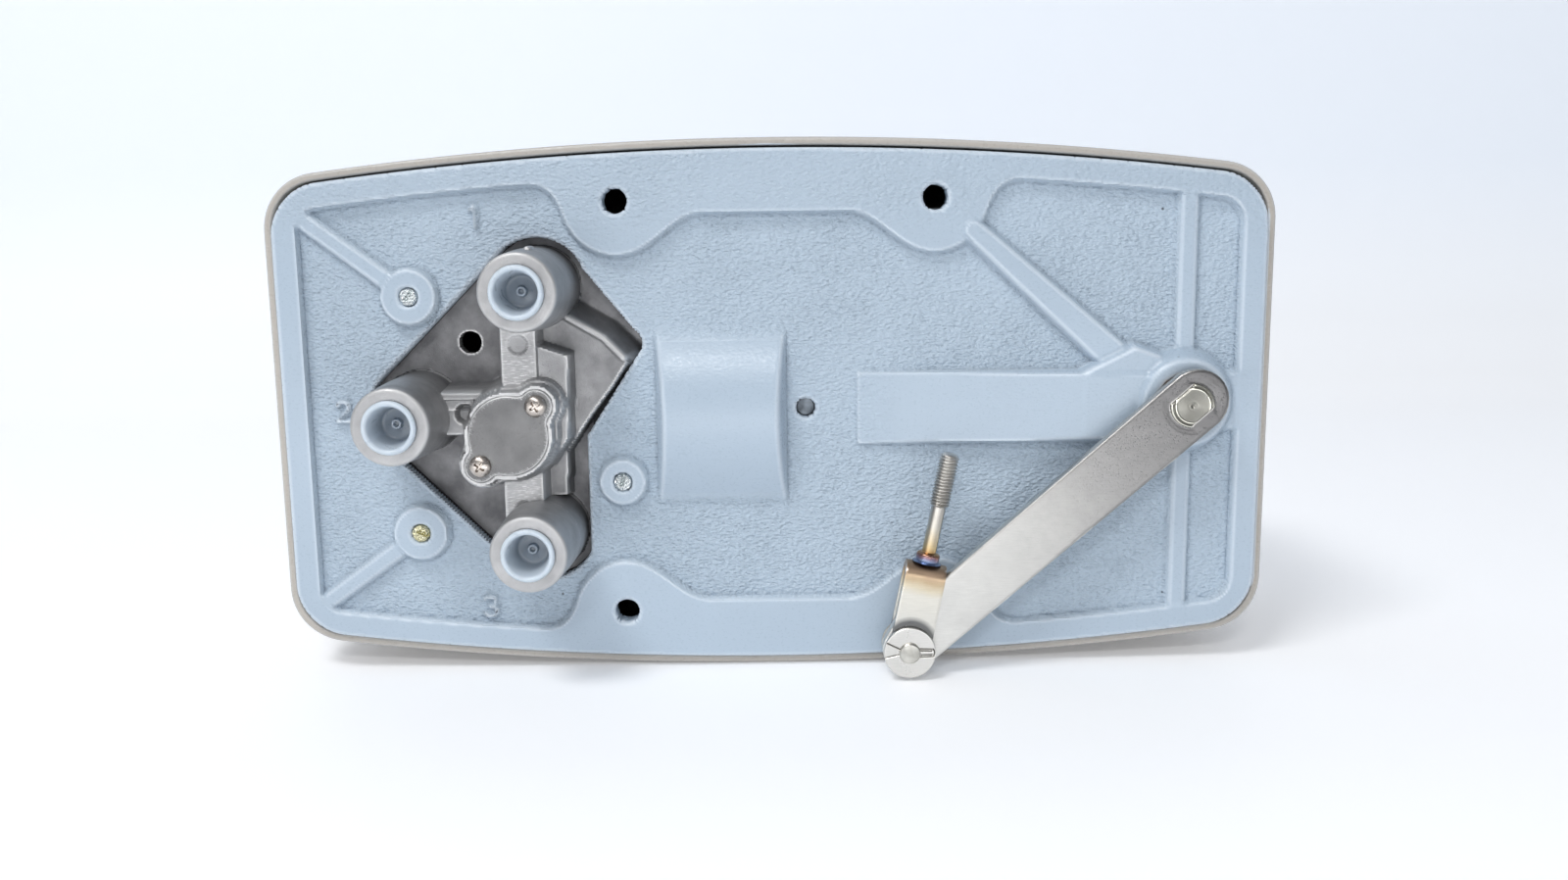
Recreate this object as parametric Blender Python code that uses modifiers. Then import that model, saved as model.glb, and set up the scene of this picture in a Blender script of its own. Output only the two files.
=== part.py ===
"""Pneumatic valve positioner: cast back case with its port manifold, deep cover,
feedback lever with swivelling clevis, and the cam, spring, beam and pilot valve inside.

Run with: blender --background --python part.py
Metres, +Z up. The mounting face lies in the plane Y = 0 and faces -Y, so the rear of the
positioner faces the viewer. X = 0, Z = 0 is the middle of the four mounting holes.
"""
import math

import bmesh
import bpy
from mathutils import Matrix

# Clearances
GAP = 0.0003                # between pieces that touch or seat on each other
RUN = 0.0003                # radial clearance of pins and shafts in their holes

# Back case: a shallow cast tray, its back carrying lands, ribs and bosses
CASE_WIDTH = 0.277
CASE_HEIGHT = 0.1452
CASE_X = -0.0015            # middle of the case, measured from the middle of the holes
WIDE = CASE_WIDTH / 277     # places along the case are counted in these steps, 1 mm here
TALL = CASE_HEIGHT / 145.2  # and places up it in these
CASE_DEPTH = 0.028
CASE_BOW = 1.0              # radius of the bowed top and bottom edges
CASE_CORNER = 0.013
CASE_WALL = 0.0035
FLOOR = 0.004               # wall behind the recessed fields
FIELD = 0.0025              # depth of the recessed fields
LAND = 0.007                # width of the raised border
HOLE_SPAN_X = 0.0889
HOLE_EDGE = 0.01395         # from a hole's middle to the case's top or bottom edge
HOLE_SPAN_Z = CASE_HEIGHT - 2 * HOLE_EDGE
HOLE_RADIUS = 0.003375
LOBE = 0.015                # land around each mounting hole
LOBE_FILLET = 0.010
MIDDLE_LAND = HOLE_SPAN_Z / 2 - 0.00345  # height of the land's edge between two holes
PAD_RADIUS = 0.0075
PAD_HEIGHT = 0.0075         # pads inside the case, above its floor
RIB_WIDTH = 0.0052
DOME_LEFT = -34.3 * WIDE     # the bulge for the mechanism
DOME_RIGHT = 2.3 * WIDE
DOME_HALF = 25.3 * TALL
BAR_END = 22.6 * WIDE
SCREW_BOSS = 0.0072
SCREW_RADIUS = 0.0024       # manifold and plate screws
SCREW_HEAD = 0.0042
SCREW_HEAD_HEIGHT = 0.0030

# Cover
COVER_WALL = 0.0025
COVER_CLEARANCE = 0.0008
COVER_RIM = 0.003           # distance of the rim behind the mounting face
COVER_FRONT = 0.098
COVER_ROUND = 0.012
COVER_DRAFT = 0.002
SEAL_HEIGHT = 0.003
SEAL_WIDTH = 0.0033
POST_RADIUS = 0.0045
POST_STUD = 0.0025          # studs and screws at both ends of the posts
POST_THREAD = 0.014         # depth of the threaded hole in the post's front end

# Manifold ports, tower faces standing out from the mounting face
PORTS = {"output": (-67.3 * WIDE, 35.0 * TALL), "instrument": (-102.4 * WIDE, 0.0),
         "supply": (-67.3 * WIDE, -35.0 * TALL)}
PORT_RADIUS = 0.00685
PORT_DEPTH = 0.012
TOWER_FACE = -0.026
TOWER_TOP = 0.0104
TOWER_BASE = 0.0118
TOWER_CLEARANCE = 0.0022
PASSAGE = 0.0025
FLANGE = 0.004
GASKET = 0.001
MANIFOLD_SCREWS = ((-102.8 * WIDE, 33.0 * TALL), (-103.0 * WIDE, -34.6 * TALL),
                   (-44.5 * WIDE, -20.4 * TALL))
WINDOW_CORNER = (-42.5 * WIDE, 19.0 * TALL)
WINDOW_CORNER_RADIUS = 0.004
CHAMBER = (-73.8 * WIDE, -4.6 * TALL)
CHAMBER_RADIUS = 0.0075
CAP_FACE = -0.0135
CAP_RADIUS = 0.0104
CAP_THICKNESS = 0.0012
CAP_SCREW_SPREAD = 0.0114
CAP_SCREW_ANGLE = 46.0
CAP_SCREW_RADIUS = 0.0015
ARM_FACE = -0.008
ARM_STEPS = {"output": 0.0, "supply": 0.0002, "instrument": 0.0006}

# Feedback shaft and lever
SHAFT = (114.0 * WIDE, 0.0010)
SHAFT_RADIUS = 0.006
SHAFT_FLATS = 0.0042        # half the distance across the flats
HUB_FACE = -0.006
HUB_RADIUS = 0.0127
HUB_INSIDE = 0.0240
BUSH_WALL = 0.0015
BUSH_FLANGE = 0.0014
LEVER_LENGTH = 0.1036
LEVER_WIDTH = 0.0174        # at the shaft; the free end narrows on its lower side
LEVER_TIP = 0.0073          # radius of the rounding at the free end
LEVER_BEYOND = 0.0020       # the other end's rounding is centred this far past the shaft
LEVER_THICKNESS = 0.0032
LEVER_FRONT = -0.0112
LEVER_DROP = 41.3           # degrees below the horizontal at rest

# Clevis on the lever's free end
STRAP = 0.002
STRAP_WIDTH = 0.0114
STRAP_BEND = 0.0213         # from the pin to the middle of the bend
PIN_RADIUS = 0.003
PIN_HEAD = 0.0072           # riveted end behind the clevis
RING_RADIUS = 0.0073
RING_THICKNESS = 0.0012
ROD_RADIUS = 0.002
ROD_LENGTH = 0.0570
THREAD_RADIUS = 0.0028
THREAD_TURNS = 15
THREAD_PITCH = 0.0009

# Mechanism inside
CAM_BACK = 0.030
CAM_THICKNESS = 0.003
CAM_SEAT = 0.0040           # radius of the shaft's end that carries the cam
ARM_PIVOT = (SHAFT[0] - 0.0300, SHAFT[1] + 0.0410)
ARM_BACK = 0.0250
ARM_LENGTH = 0.0410
ARM_THICKNESS = 0.0025
ARM_START = 8.4             # degrees either side of square over the whole travel
ARM_RATIO = 0.20            # follower turn for each turn of the lever
LEVER_TRAVEL = 84.0
ROLLER_RADIUS = 0.005
AXLE_RADIUS = 0.0015
SPRING_ARM = 0.0400
SPRING_RADIUS = 0.0042
SPRING_WIRE = 0.0006
SPRING_TURNS = 7
SPRING_Y = 0.0320           # plane in which the spring hangs
PLATE_BACK = 0.0143
PLATE_THICKNESS = 0.0025
PLATE_CORNERS = ((93.0 * WIDE, 54.0 * TALL), (-28.0 * WIDE, 38.0 * TALL),
                 (-26.0 * WIDE, -59.0 * TALL), (60.0 * WIDE, -42.0 * TALL))
PLATE_MIDDLE = (8.0 * WIDE, 0.0)  # this screw's tip shows in the hole beside the bulge
PLATE_SCREWS = PLATE_CORNERS + (PLATE_MIDDLE,)
BEAM_PIVOT = (SHAFT[0] - 0.1040, 0.0)
BEAM_BACK = 0.0290
BEAM_THICKNESS = 0.0060
BEAM_HUB = 0.0065           # half height of the beam at its pivot
BEAM_SPRING_END = 0.0032
BEAM_VALVE_END = 0.0028
BEAM_SWING = 1.5            # degrees either way
SPOOL_X = -64.0 * WIDE
CAPSULE_X = -30.0 * WIDE
CAPSULE_SHELF = 40.0 * TALL  # the bracket's shelf under the beam's pivot
BELLOWS = 23.0 * TALL       # height of the bellows
ZERO_X = SHAFT[0] - 0.0860

bpy.ops.object.select_all(action="DESELECT")
for old in list(bpy.data.objects):
    bpy.data.objects.remove(old, do_unlink=True)

PARTS = bpy.data.collections.new("valve_positioner")
TOOLS = bpy.data.collections.new("cutters")
bpy.context.scene.collection.children.link(PARTS)
bpy.context.scene.collection.children.link(TOOLS)


# Outlines

def on_circle(centre, radius, degrees):
    angle = math.radians(degrees)
    return (centre[0] + radius * math.cos(angle), centre[1] + radius * math.sin(angle))


def arc(centre, radius, start, end, step=18.0):
    """Points along an arc from start to end, both included, in degrees."""
    count = max(1, math.ceil(abs(end - start) / step))
    return [on_circle(centre, radius, start + (end - start) * i / count) for i in range(count + 1)]


def circle(centre, radius, count=20):
    return [on_circle(centre, radius, 360.0 * i / count) for i in range(count)]


def direction(start, end):
    return math.degrees(math.atan2(end[1] - start[1], end[0] - start[0]))


def belt(rounds, step=20.0):
    """Outline of a belt drawn tight round circles (centre, radius) given counterclockwise."""

    def tangent(first, second):
        span = math.dist(first[0], second[0])
        lean = math.degrees(math.acos((first[1] - second[1]) / span))
        return direction(first[0], second[0]) - lean

    points = []
    for i, here in enumerate(rounds):
        start = tangent(rounds[i - 1], here)
        end = tangent(here, rounds[(i + 1) % len(rounds)])
        points += arc(here[0], here[1], start, start + (end - start) % 360.0, step)
    return points


def bowed(inset, step=18.0):
    """The case's outline, drawn in by inset: straight sides, bowed top and bottom."""
    half_w = CASE_WIDTH / 2 - inset
    half_h = CASE_HEIGHT / 2 - inset
    bow = CASE_BOW - inset
    corner = max(CASE_CORNER - inset, 0.001)
    bow_z = half_h - bow
    corner_x = half_w - corner
    corner_z = bow_z + math.sqrt((bow - corner) ** 2 - corner_x ** 2)
    lean = direction((0, bow_z), (corner_x, corner_z))
    quarter = arc((corner_x, corner_z), corner, 0.0, lean, step)
    half = quarter + arc((0, bow_z), bow, lean, 180.0 - lean, 2.1)[1:-1]
    half += [(-x, z) for x, z in reversed(quarter)]
    full = half + [(-x, -z) for x, z in half]
    return [(CASE_X + x, z) for x, z in full]


def field_quarter(side, level):
    """One quarter of the recessed field's edge, from the side to the middle land."""
    hole = (HOLE_SPAN_X / 2, HOLE_SPAN_Z / 2)
    middle = side * CASE_X
    half_w = CASE_WIDTH / 2 - LAND + middle
    bow = CASE_BOW - LAND
    bow_z = CASE_HEIGHT / 2 - LAND - bow
    corner = max(CASE_CORNER - LAND, 0.001)
    corner_x = half_w - corner
    corner_z = bow_z + math.sqrt((bow - corner) ** 2 - (corner_x - middle) ** 2)
    lean = direction((middle, bow_z), (corner_x, corner_z))
    reach = LOBE + LOBE_FILLET
    # The outer fillet touches both the bow and the lobe: two circles meet at its centre
    span = math.dist((middle, bow_z), hole)
    along = (span ** 2 + (bow - LOBE_FILLET) ** 2 - reach ** 2) / (2 * span)
    swing = math.degrees(math.acos(along / (bow - LOBE_FILLET)))
    outer = on_circle((middle, bow_z), bow - LOBE_FILLET, direction((middle, bow_z), hole) - swing)
    drop = MIDDLE_LAND - LOBE_FILLET
    inner = (hole[0] - math.sqrt(reach ** 2 - (hole[1] - drop) ** 2), drop)
    touch = direction((middle, bow_z), outer)
    first = direction(outer, hole)
    last = direction(inner, hole)
    points = arc((corner_x, corner_z), corner, 0.0, lean)
    points += arc((middle, bow_z), bow, lean, touch, 2.1)[1:-1]
    points += arc(outer, LOBE_FILLET, touch, first)
    points += arc(hole, LOBE, first - 180.0, last - 180.0)[1:-1]
    points += arc(inner, LOBE_FILLET, last, 90.0)
    points = [(side * x, level * z) for x, z in points]
    return points if side * level > 0 else points[::-1]


def field_outline():
    return field_quarter(1, 1) + field_quarter(-1, 1) + field_quarter(-1, -1) + field_quarter(1, -1)


# Modelling tools

ALONG = {"Y": Matrix.Rotation(math.radians(90), 4, "X"),
         "Z": Matrix.Identity(4),
         "X": Matrix(((0, 0, 1, 0), (1, 0, 0, 0), (0, 1, 0, 0), (0, 0, 0, 1)))}


def add(name, mesh, collection=PARTS, parent=None):
    body = bpy.data.objects.new(name, mesh)
    collection.objects.link(body)
    if collection is TOOLS:
        body.hide_render = True
        body.display_type = "WIRE"
    body.parent = parent
    return body


def flat(name, loops, low, high, along="Y", collection=TOOLS, parent=None, soften=0.0, segments=1):
    """A flat piece cut from outlines and thick from low to high along one axis.

    Along Y the outlines are (x, z), along Z they are (x, y), along X they are (y, z).
    """
    curve = bpy.data.curves.new(name, "CURVE")
    curve.dimensions = "2D"
    curve.fill_mode = "BOTH"
    curve.extrude = (high - low) / 2
    for loop in loops:
        spline = curve.splines.new("POLY")
        spline.points.add(len(loop) - 1)
        for point, (a, b) in zip(spline.points, loop):
            point.co = (a, b, 0.0, 1.0)
        spline.use_cyclic_u = True
    holder = bpy.data.objects.new(name + "_curve", curve)
    mesh = bpy.data.meshes.new_from_object(holder)
    bpy.data.objects.remove(holder)
    bpy.data.curves.remove(curve)
    shape = bmesh.new()
    shape.from_mesh(mesh)
    bmesh.ops.remove_doubles(shape, verts=shape.verts, dist=1e-6)
    bmesh.ops.recalc_face_normals(shape, faces=shape.faces)
    shape.to_mesh(mesh)
    shape.free()
    mesh.name = name
    body = add(name, mesh, collection, parent)
    middle = (low + high) / 2
    offset = {"Y": (0, middle, 0), "Z": (0, 0, middle), "X": (middle, 0, 0)}[along]
    body.matrix_local = Matrix.Translation(offset) @ ALONG[along]
    if soften:
        bevel = body.modifiers.new("soften", "BEVEL")
        bevel.width = soften
        bevel.segments = segments
        bevel.limit_method = "ANGLE"
        bevel.angle_limit = math.radians(50)
    return body


def turned(name, profile, centre, along="Y", steps=16, collection=PARTS, parent=None, closed=False):
    """A turned piece. The profile holds (radius, height) pairs.

    Along Y the heights are places on Y from the rear to the front, along Z from top to bottom.
    A closed profile runs down the outside and back up the bore.
    """
    sign = -1.0 if along == "Y" else 1.0
    mesh = bpy.data.meshes.new(name)
    points = [(radius, 0.0, sign * height) for radius, height in profile]
    edges = [(i, i + 1) for i in range(len(points) - 1)]
    if closed:
        edges.append((len(points) - 1, 0))
    mesh.from_pydata(points, edges, [])
    body = add(name, mesh, collection, parent)
    if along == "Y":
        body.matrix_local = Matrix.Translation((centre[0], 0, centre[1])) @ ALONG["Y"]
    else:
        body.matrix_local = Matrix.Translation((centre[0], centre[1], 0))
    screw = body.modifiers.new("turn", "SCREW")
    screw.axis = "Z"
    screw.steps = steps
    screw.render_steps = steps
    screw.use_merge_vertices = True
    screw.merge_threshold = 0.00001
    screw.use_smooth_shade = True
    return body


def pin(name, radius, start, end, centre, **options):
    """A plain round pin or drill from start to end."""
    top, bottom = (start, end) if options.get("along", "Y") == "Y" else (end, start)
    return turned(name, [(0, top), (radius, top), (radius, bottom), (0, bottom)], centre, **options)


def drill(name, radius, start, end, centre, along="Y", steps=16, parent=None):
    return pin(name, radius, start, end, centre, along=along, steps=steps, collection=TOOLS, parent=parent)


def combine(body, others, operation="DIFFERENCE", solver="EXACT"):
    """Cut tools from a body, or join pieces to it."""
    for other in others:
        step = body.modifiers.new(other.name, "BOOLEAN")
        step.operation = operation
        step.object = other
        step.solver = solver
    return body


def joint(name, place, turn=0.0, parent=None):
    """An empty on a joint's axis that carries the moving pieces."""
    empty = bpy.data.objects.new(name, None)
    PARTS.objects.link(empty)
    empty.empty_display_size = 0.01
    empty.parent = parent
    empty.location = place
    empty.rotation_euler = (0.0, math.radians(turn), 0.0)
    return empty


def bevel(body, width, segments=1, angle=40):
    step = body.modifiers.new("edges", "BEVEL")
    step.width = width
    step.segments = segments
    step.limit_method = "ANGLE"
    step.angle_limit = math.radians(angle)
    step.harden_normals = False
    return body


def linear(channel):
    return channel / 12.92 if channel <= 0.04045 else ((channel + 0.055) / 1.055) ** 2.4


def finish(body, name, colour, roughness, metallic):
    """Give a piece its material; the colour is sRGB hex."""
    material = bpy.data.materials.get(name)
    if material is None:
        material = bpy.data.materials.new(name)
        material.use_nodes = True
        shader = material.node_tree.nodes["Principled BSDF"]
        rgb = [linear(int(colour[i:i + 2], 16) / 255) for i in (0, 2, 4)]
        shader.inputs["Base Color"].default_value = (*rgb, 1.0)
        shader.inputs["Roughness"].default_value = roughness
        shader.inputs["Metallic"].default_value = metallic
        material.diffuse_color = (*rgb, 1.0)
    body.data.materials.append(material)
    return body


def case_paint(body):
    return finish(body, "blue_grey_paint", "B4C2D0", 0.42, 0.0)


def cover_paint(body):
    return finish(body, "warm_grey_paint", "B3ADA6", 0.45, 0.0)


def cast_aluminium(body):
    return finish(body, "cast_aluminium", "9A9792", 0.45, 1.0)


def steel(body):
    return finish(body, "stainless_steel", "B6B2AA", 0.30, 1.0)


def nickel(body):
    return finish(body, "nickel_screw", "D8D5CC", 0.20, 1.0)


def bronze(body):
    return finish(body, "bearing_bronze", "A8814E", 0.40, 1.0)


def rubber(body):
    return finish(body, "black_rubber", "1E1E22", 0.75, 0.0)


def aluminium(body):
    return finish(body, "machined_aluminium", "C4C6C8", 0.32, 1.0)


# Back case

def hole_places():
    return [(x * HOLE_SPAN_X / 2, z * HOLE_SPAN_Z / 2) for x in (-1, 1) for z in (-1, 1)]


def window_outlines():
    """The opening round the port towers, as two belts that overlap."""
    reach = TOWER_BASE + TOWER_CLEARANCE
    corner = (WINDOW_CORNER, WINDOW_CORNER_RADIUS)
    towers = [(PORTS["output"], reach), (PORTS["instrument"], reach), (PORTS["supply"], reach)]
    return belt(towers), belt([corner, (PORTS["output"], reach), (CHAMBER, reach)])


def wedge_profile():
    """Side view of the bar behind the hub, in (x, y): low at its free end, high at the hub."""
    return [(BAR_END, FIELD - 0.0012), (SHAFT[0], HUB_FACE + 0.0007),
            (SHAFT[0], FIELD + FLOOR / 2), (BAR_END, FIELD + FLOOR / 2)]


def dome_profile(inset):
    """Section of the bulge in (y, z): an arc standing out from the field."""
    half, rise = DOME_HALF, 0.0075
    radius = (half ** 2 + rise ** 2) / (2 * rise)
    centre = (FIELD - rise + radius, -2.2 * TALL)
    spread = math.degrees(math.asin(half / radius)) + 2.0
    return arc(centre, radius - inset, 180 - spread, 180 + spread, 6.0)


def build_case():
    floor = FIELD + FLOOR
    case = flat("case", [bowed(0.0)], 0.0, CASE_DEPTH, collection=PARTS, soften=0.0008)
    inside = flat("case_inside", [bowed(CASE_WALL)], floor, CASE_DEPTH + 0.01)
    field = flat("case_field", [field_outline()], -0.01, FIELD)
    combine(case, [inside, field])

    left = CASE_X - CASE_WIDTH / 2 + LAND
    corner_z = 57.5 * TALL
    ribs = []
    for number, place in enumerate(MANIFOLD_SCREWS):
        ribs.append(flat("screw_boss_%d" % number, [circle(place, SCREW_BOSS)], 0.0, floor - 0.001))
        if number < 2:
            corner = (left - 0.001, math.copysign(corner_z, place[1]))
            run = belt([(corner, RIB_WIDTH / 2), (place, RIB_WIDTH / 2)])
            ribs.append(flat("corner_rib_%d" % number, [run], 0.0, floor - 0.001))
    top = CASE_HEIGHT / 2 - LAND
    upright = belt([((SHAFT[0] + 0.001, top - 0.004), RIB_WIDTH / 2),
                    ((SHAFT[0] + 0.001, 0.004 - top), RIB_WIDTH / 2)])
    ribs.append(flat("upright_rib", [upright], 0.0, floor - 0.001, soften=0.0014))
    brace = belt([((55.0 * WIDE, 49.5 * TALL), 0.0030), ((SHAFT[0] - 0.0170, 0.0120), 0.0045)])
    ribs.append(flat("brace_rib", [brace], -0.0012, floor - 0.001, soften=0.0016))
    right = CASE_X + CASE_WIDTH / 2 - LAND
    web = [(SHAFT[0], -0.0078), (right + 0.002, -0.0078), (right + 0.002, 0.0094), (SHAFT[0], 0.0094)]
    ribs.append(flat("hub_web", [web], 0.0, floor - 0.001))
    ribs.append(flat("bar", [wedge_profile()], -0.0100, 0.0100, along="Z", soften=0.0012))
    gusset = [(SHAFT[0] - x, z) for x, z in ((0.0290, -0.0095), (0.0100, -0.0095), (0.0020, 0.0130),
                                             (0.0140, 0.0175), (0.0290, 0.0100))]
    ribs.append(flat("gusset", [gusset], HUB_FACE + 0.0022, floor - 0.001, soften=0.0012))
    boss = [(0, HUB_FACE), (HUB_RADIUS - 0.0006, HUB_FACE), (HUB_RADIUS, HUB_FACE + 0.0006),
            (HUB_RADIUS + 0.0004, -0.0030), (HUB_RADIUS + 0.0022, -0.0018),
            (HUB_RADIUS + 0.0024, floor - 0.001), (HUB_RADIUS, floor),
            (HUB_RADIUS - 0.0010, HUB_INSIDE), (0, HUB_INSIDE)]
    ribs.append(turned("hub_boss", boss, SHAFT, steps=28, collection=TOOLS))
    ribs.append(flat("dome", [dome_profile(0.0)], DOME_LEFT, DOME_RIGHT, along="X", soften=0.0022,
                     segments=2))
    combine(case, ribs, "UNION")

    pads = []
    for number, place in enumerate(hole_places()):
        pads.append(pin("hole_pad_%d" % number, PAD_RADIUS, floor - 0.001, floor + PAD_HEIGHT - 0.002, place,
                        collection=TOOLS, steps=12))
    for number, place in enumerate(PLATE_SCREWS):
        pads.append(pin("plate_pad_%d" % number, PAD_RADIUS - 0.0015, floor - 0.001, PLATE_BACK - GAP, place,
                        collection=TOOLS, steps=12))
    for number, place in enumerate(post_places()):
        pads.append(pin("post_pad_%d" % number, PAD_RADIUS, floor - 0.001, PLATE_BACK, place,
                        collection=TOOLS, steps=12))
    combine(case, pads, "UNION")

    cuts = [flat("dome_hollow", [dome_profile(FLOOR)], DOME_LEFT + FLOOR, DOME_RIGHT - FLOOR, along="X")]
    for number, outline in enumerate(window_outlines()):
        cuts.append(flat("window_%d" % number, [outline], -0.02, 0.02))
    for number, place in enumerate(hole_places()):
        cuts.append(drill("mounting_hole_%d" % number, HOLE_RADIUS, -0.01, 0.02, place))
    for number, place in enumerate(MANIFOLD_SCREWS):
        cuts.append(drill("boss_hole_%d" % number, SCREW_RADIUS + RUN, -0.01, 0.02, place, steps=12))
    for number, place in enumerate(PLATE_SCREWS):
        bottom = -0.01 if place == PLATE_MIDDLE else floor - 0.0015
        cuts.append(drill("pad_hole_%d" % number, SCREW_RADIUS + RUN, bottom, CASE_DEPTH, place, steps=14))
    for number, place in enumerate(post_places()):
        cuts.append(drill("post_hole_%d" % number, POST_STUD + RUN, floor + 0.001, 0.03, place, steps=12))
    bush = SHAFT_RADIUS + RUN + BUSH_WALL + GAP
    cuts.append(drill("hub_bore", bush, -0.02, 0.04, SHAFT, steps=24))
    combine(case, cuts)
    return case_paint(case)



def post_places():
    """The two posts that the cover's screws reach, on the case's long axis."""
    reach = CASE_WIDTH / 2 - 0.0185
    return [(CASE_X - reach, -20.0 * TALL), (CASE_X + reach, 33.0 * TALL)]


# Cover, its seal, posts and screws

def build_cover():
    """A deep shell: rings of the case's outline, drawn in towards a rounded front."""
    out = -(COVER_CLEARANCE + COVER_WALL)
    start = COVER_FRONT - COVER_ROUND
    ledge_y = CASE_DEPTH + GAP + SEAL_HEIGHT + GAP
    rings = [(out, COVER_RIM), (out, ledge_y), (out + COVER_DRAFT, start)]
    for step in range(1, 4):
        angle = math.radians(90 * step / 3)
        inset = out + COVER_DRAFT + COVER_ROUND * (1 - math.cos(angle)) * 0.92
        rings.append((inset, start + COVER_ROUND * math.sin(angle)))
    shape = bmesh.new()
    loops = []
    for inset, depth in rings:
        loops.append([shape.verts.new((x, depth, z)) for x, z in bowed(inset)])
    count = len(loops[0])
    for near, far in zip(loops, loops[1:]):
        for i in range(count):
            j = (i + 1) % count
            shape.faces.new((near[i], far[i], far[j], near[j]))
    shape.faces.new(loops[-1][::-1])
    bmesh.ops.recalc_face_normals(shape, faces=shape.faces)
    mesh = bpy.data.meshes.new("cover")
    shape.to_mesh(mesh)
    shape.free()
    cover = add("cover", mesh)
    shell = cover.modifiers.new("wall", "SOLIDIFY")
    shell.thickness = COVER_WALL
    shell.offset = -1.0
    shell.use_even_offset = True
    band = [bowed(-COVER_CLEARANCE - 0.0006), bowed(CASE_WALL)]
    combine(cover, [flat("cover_ledge", band, ledge_y, ledge_y + 0.003)], "UNION")
    low, high = COVER_FRONT - 0.02, COVER_FRONT + 0.02
    holes = [drill("cover_hole_%d" % i, POST_STUD + RUN, low, high, place)
             for i, place in enumerate(post_places())]
    combine(cover, holes)
    return cover_paint(cover)


def build_cover_fittings():
    seal_back = CASE_DEPTH + GAP
    outer = bowed(-COVER_CLEARANCE + GAP)
    seal = flat("cover_seal", [outer, bowed(-COVER_CLEARANCE + GAP + SEAL_WIDTH)], seal_back,
                seal_back + SEAL_HEIGHT, collection=PARTS)
    rubber(seal)
    top = COVER_FRONT - COVER_WALL - GAP
    base = PLATE_BACK + GAP
    stud_end = FIELD + FLOOR + 0.002
    head = COVER_FRONT + GAP
    tip = top - 0.8 * POST_THREAD
    for number, place in enumerate(post_places(), 1):
        post = turned("cover_post_%d" % number,
                      [(0, stud_end), (POST_STUD, stud_end), (POST_STUD, base), (POST_RADIUS, base),
                       (POST_RADIUS, top), (POST_STUD, top), (POST_STUD, top - POST_THREAD),
                       (0, top - POST_THREAD)],
                      place, steps=16)
        aluminium(post)
        profile = [(0, tip), (POST_STUD - RUN, tip), (POST_STUD - RUN, head), (0.0055, head),
                   (0.0055, head + 0.0022), (0.0042, head + 0.0032), (0, head + 0.0036)]
        screw = turned("cover_screw_%d" % number, profile, place, steps=20)
        slot = [(place[0] - 0.007, head + 0.0022), (place[0] + 0.007, head + 0.0022),
                (place[0] + 0.007, head + 0.01), (place[0] - 0.007, head + 0.01)]
        low, high = place[1] - 0.0005, place[1] + 0.0005
        combine(screw, [flat("screw_slot_%d" % number, [slot], low, high, along="Z")])
        nickel(screw)


# Manifold with its three port towers

def cap_screws():
    return [on_circle(CHAMBER, CAP_SCREW_SPREAD, CAP_SCREW_ANGLE),
            on_circle(CHAMBER, CAP_SCREW_SPREAD, CAP_SCREW_ANGLE + 180)]


def cap_shape(name, grow, low, high, collection=TOOLS):
    """The filter cap's shape: a disc joined to a bar that carries the two screws."""
    first, second = cap_screws()
    ear = 0.0040 + grow
    bar = flat(name, [belt([(first, ear), (second, ear)])], low, high, collection=collection)
    disc = flat(name + "_disc", [circle(CHAMBER, CAP_RADIUS + grow, 24)], low, high)
    return combine(bar, [disc], "UNION")


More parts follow.
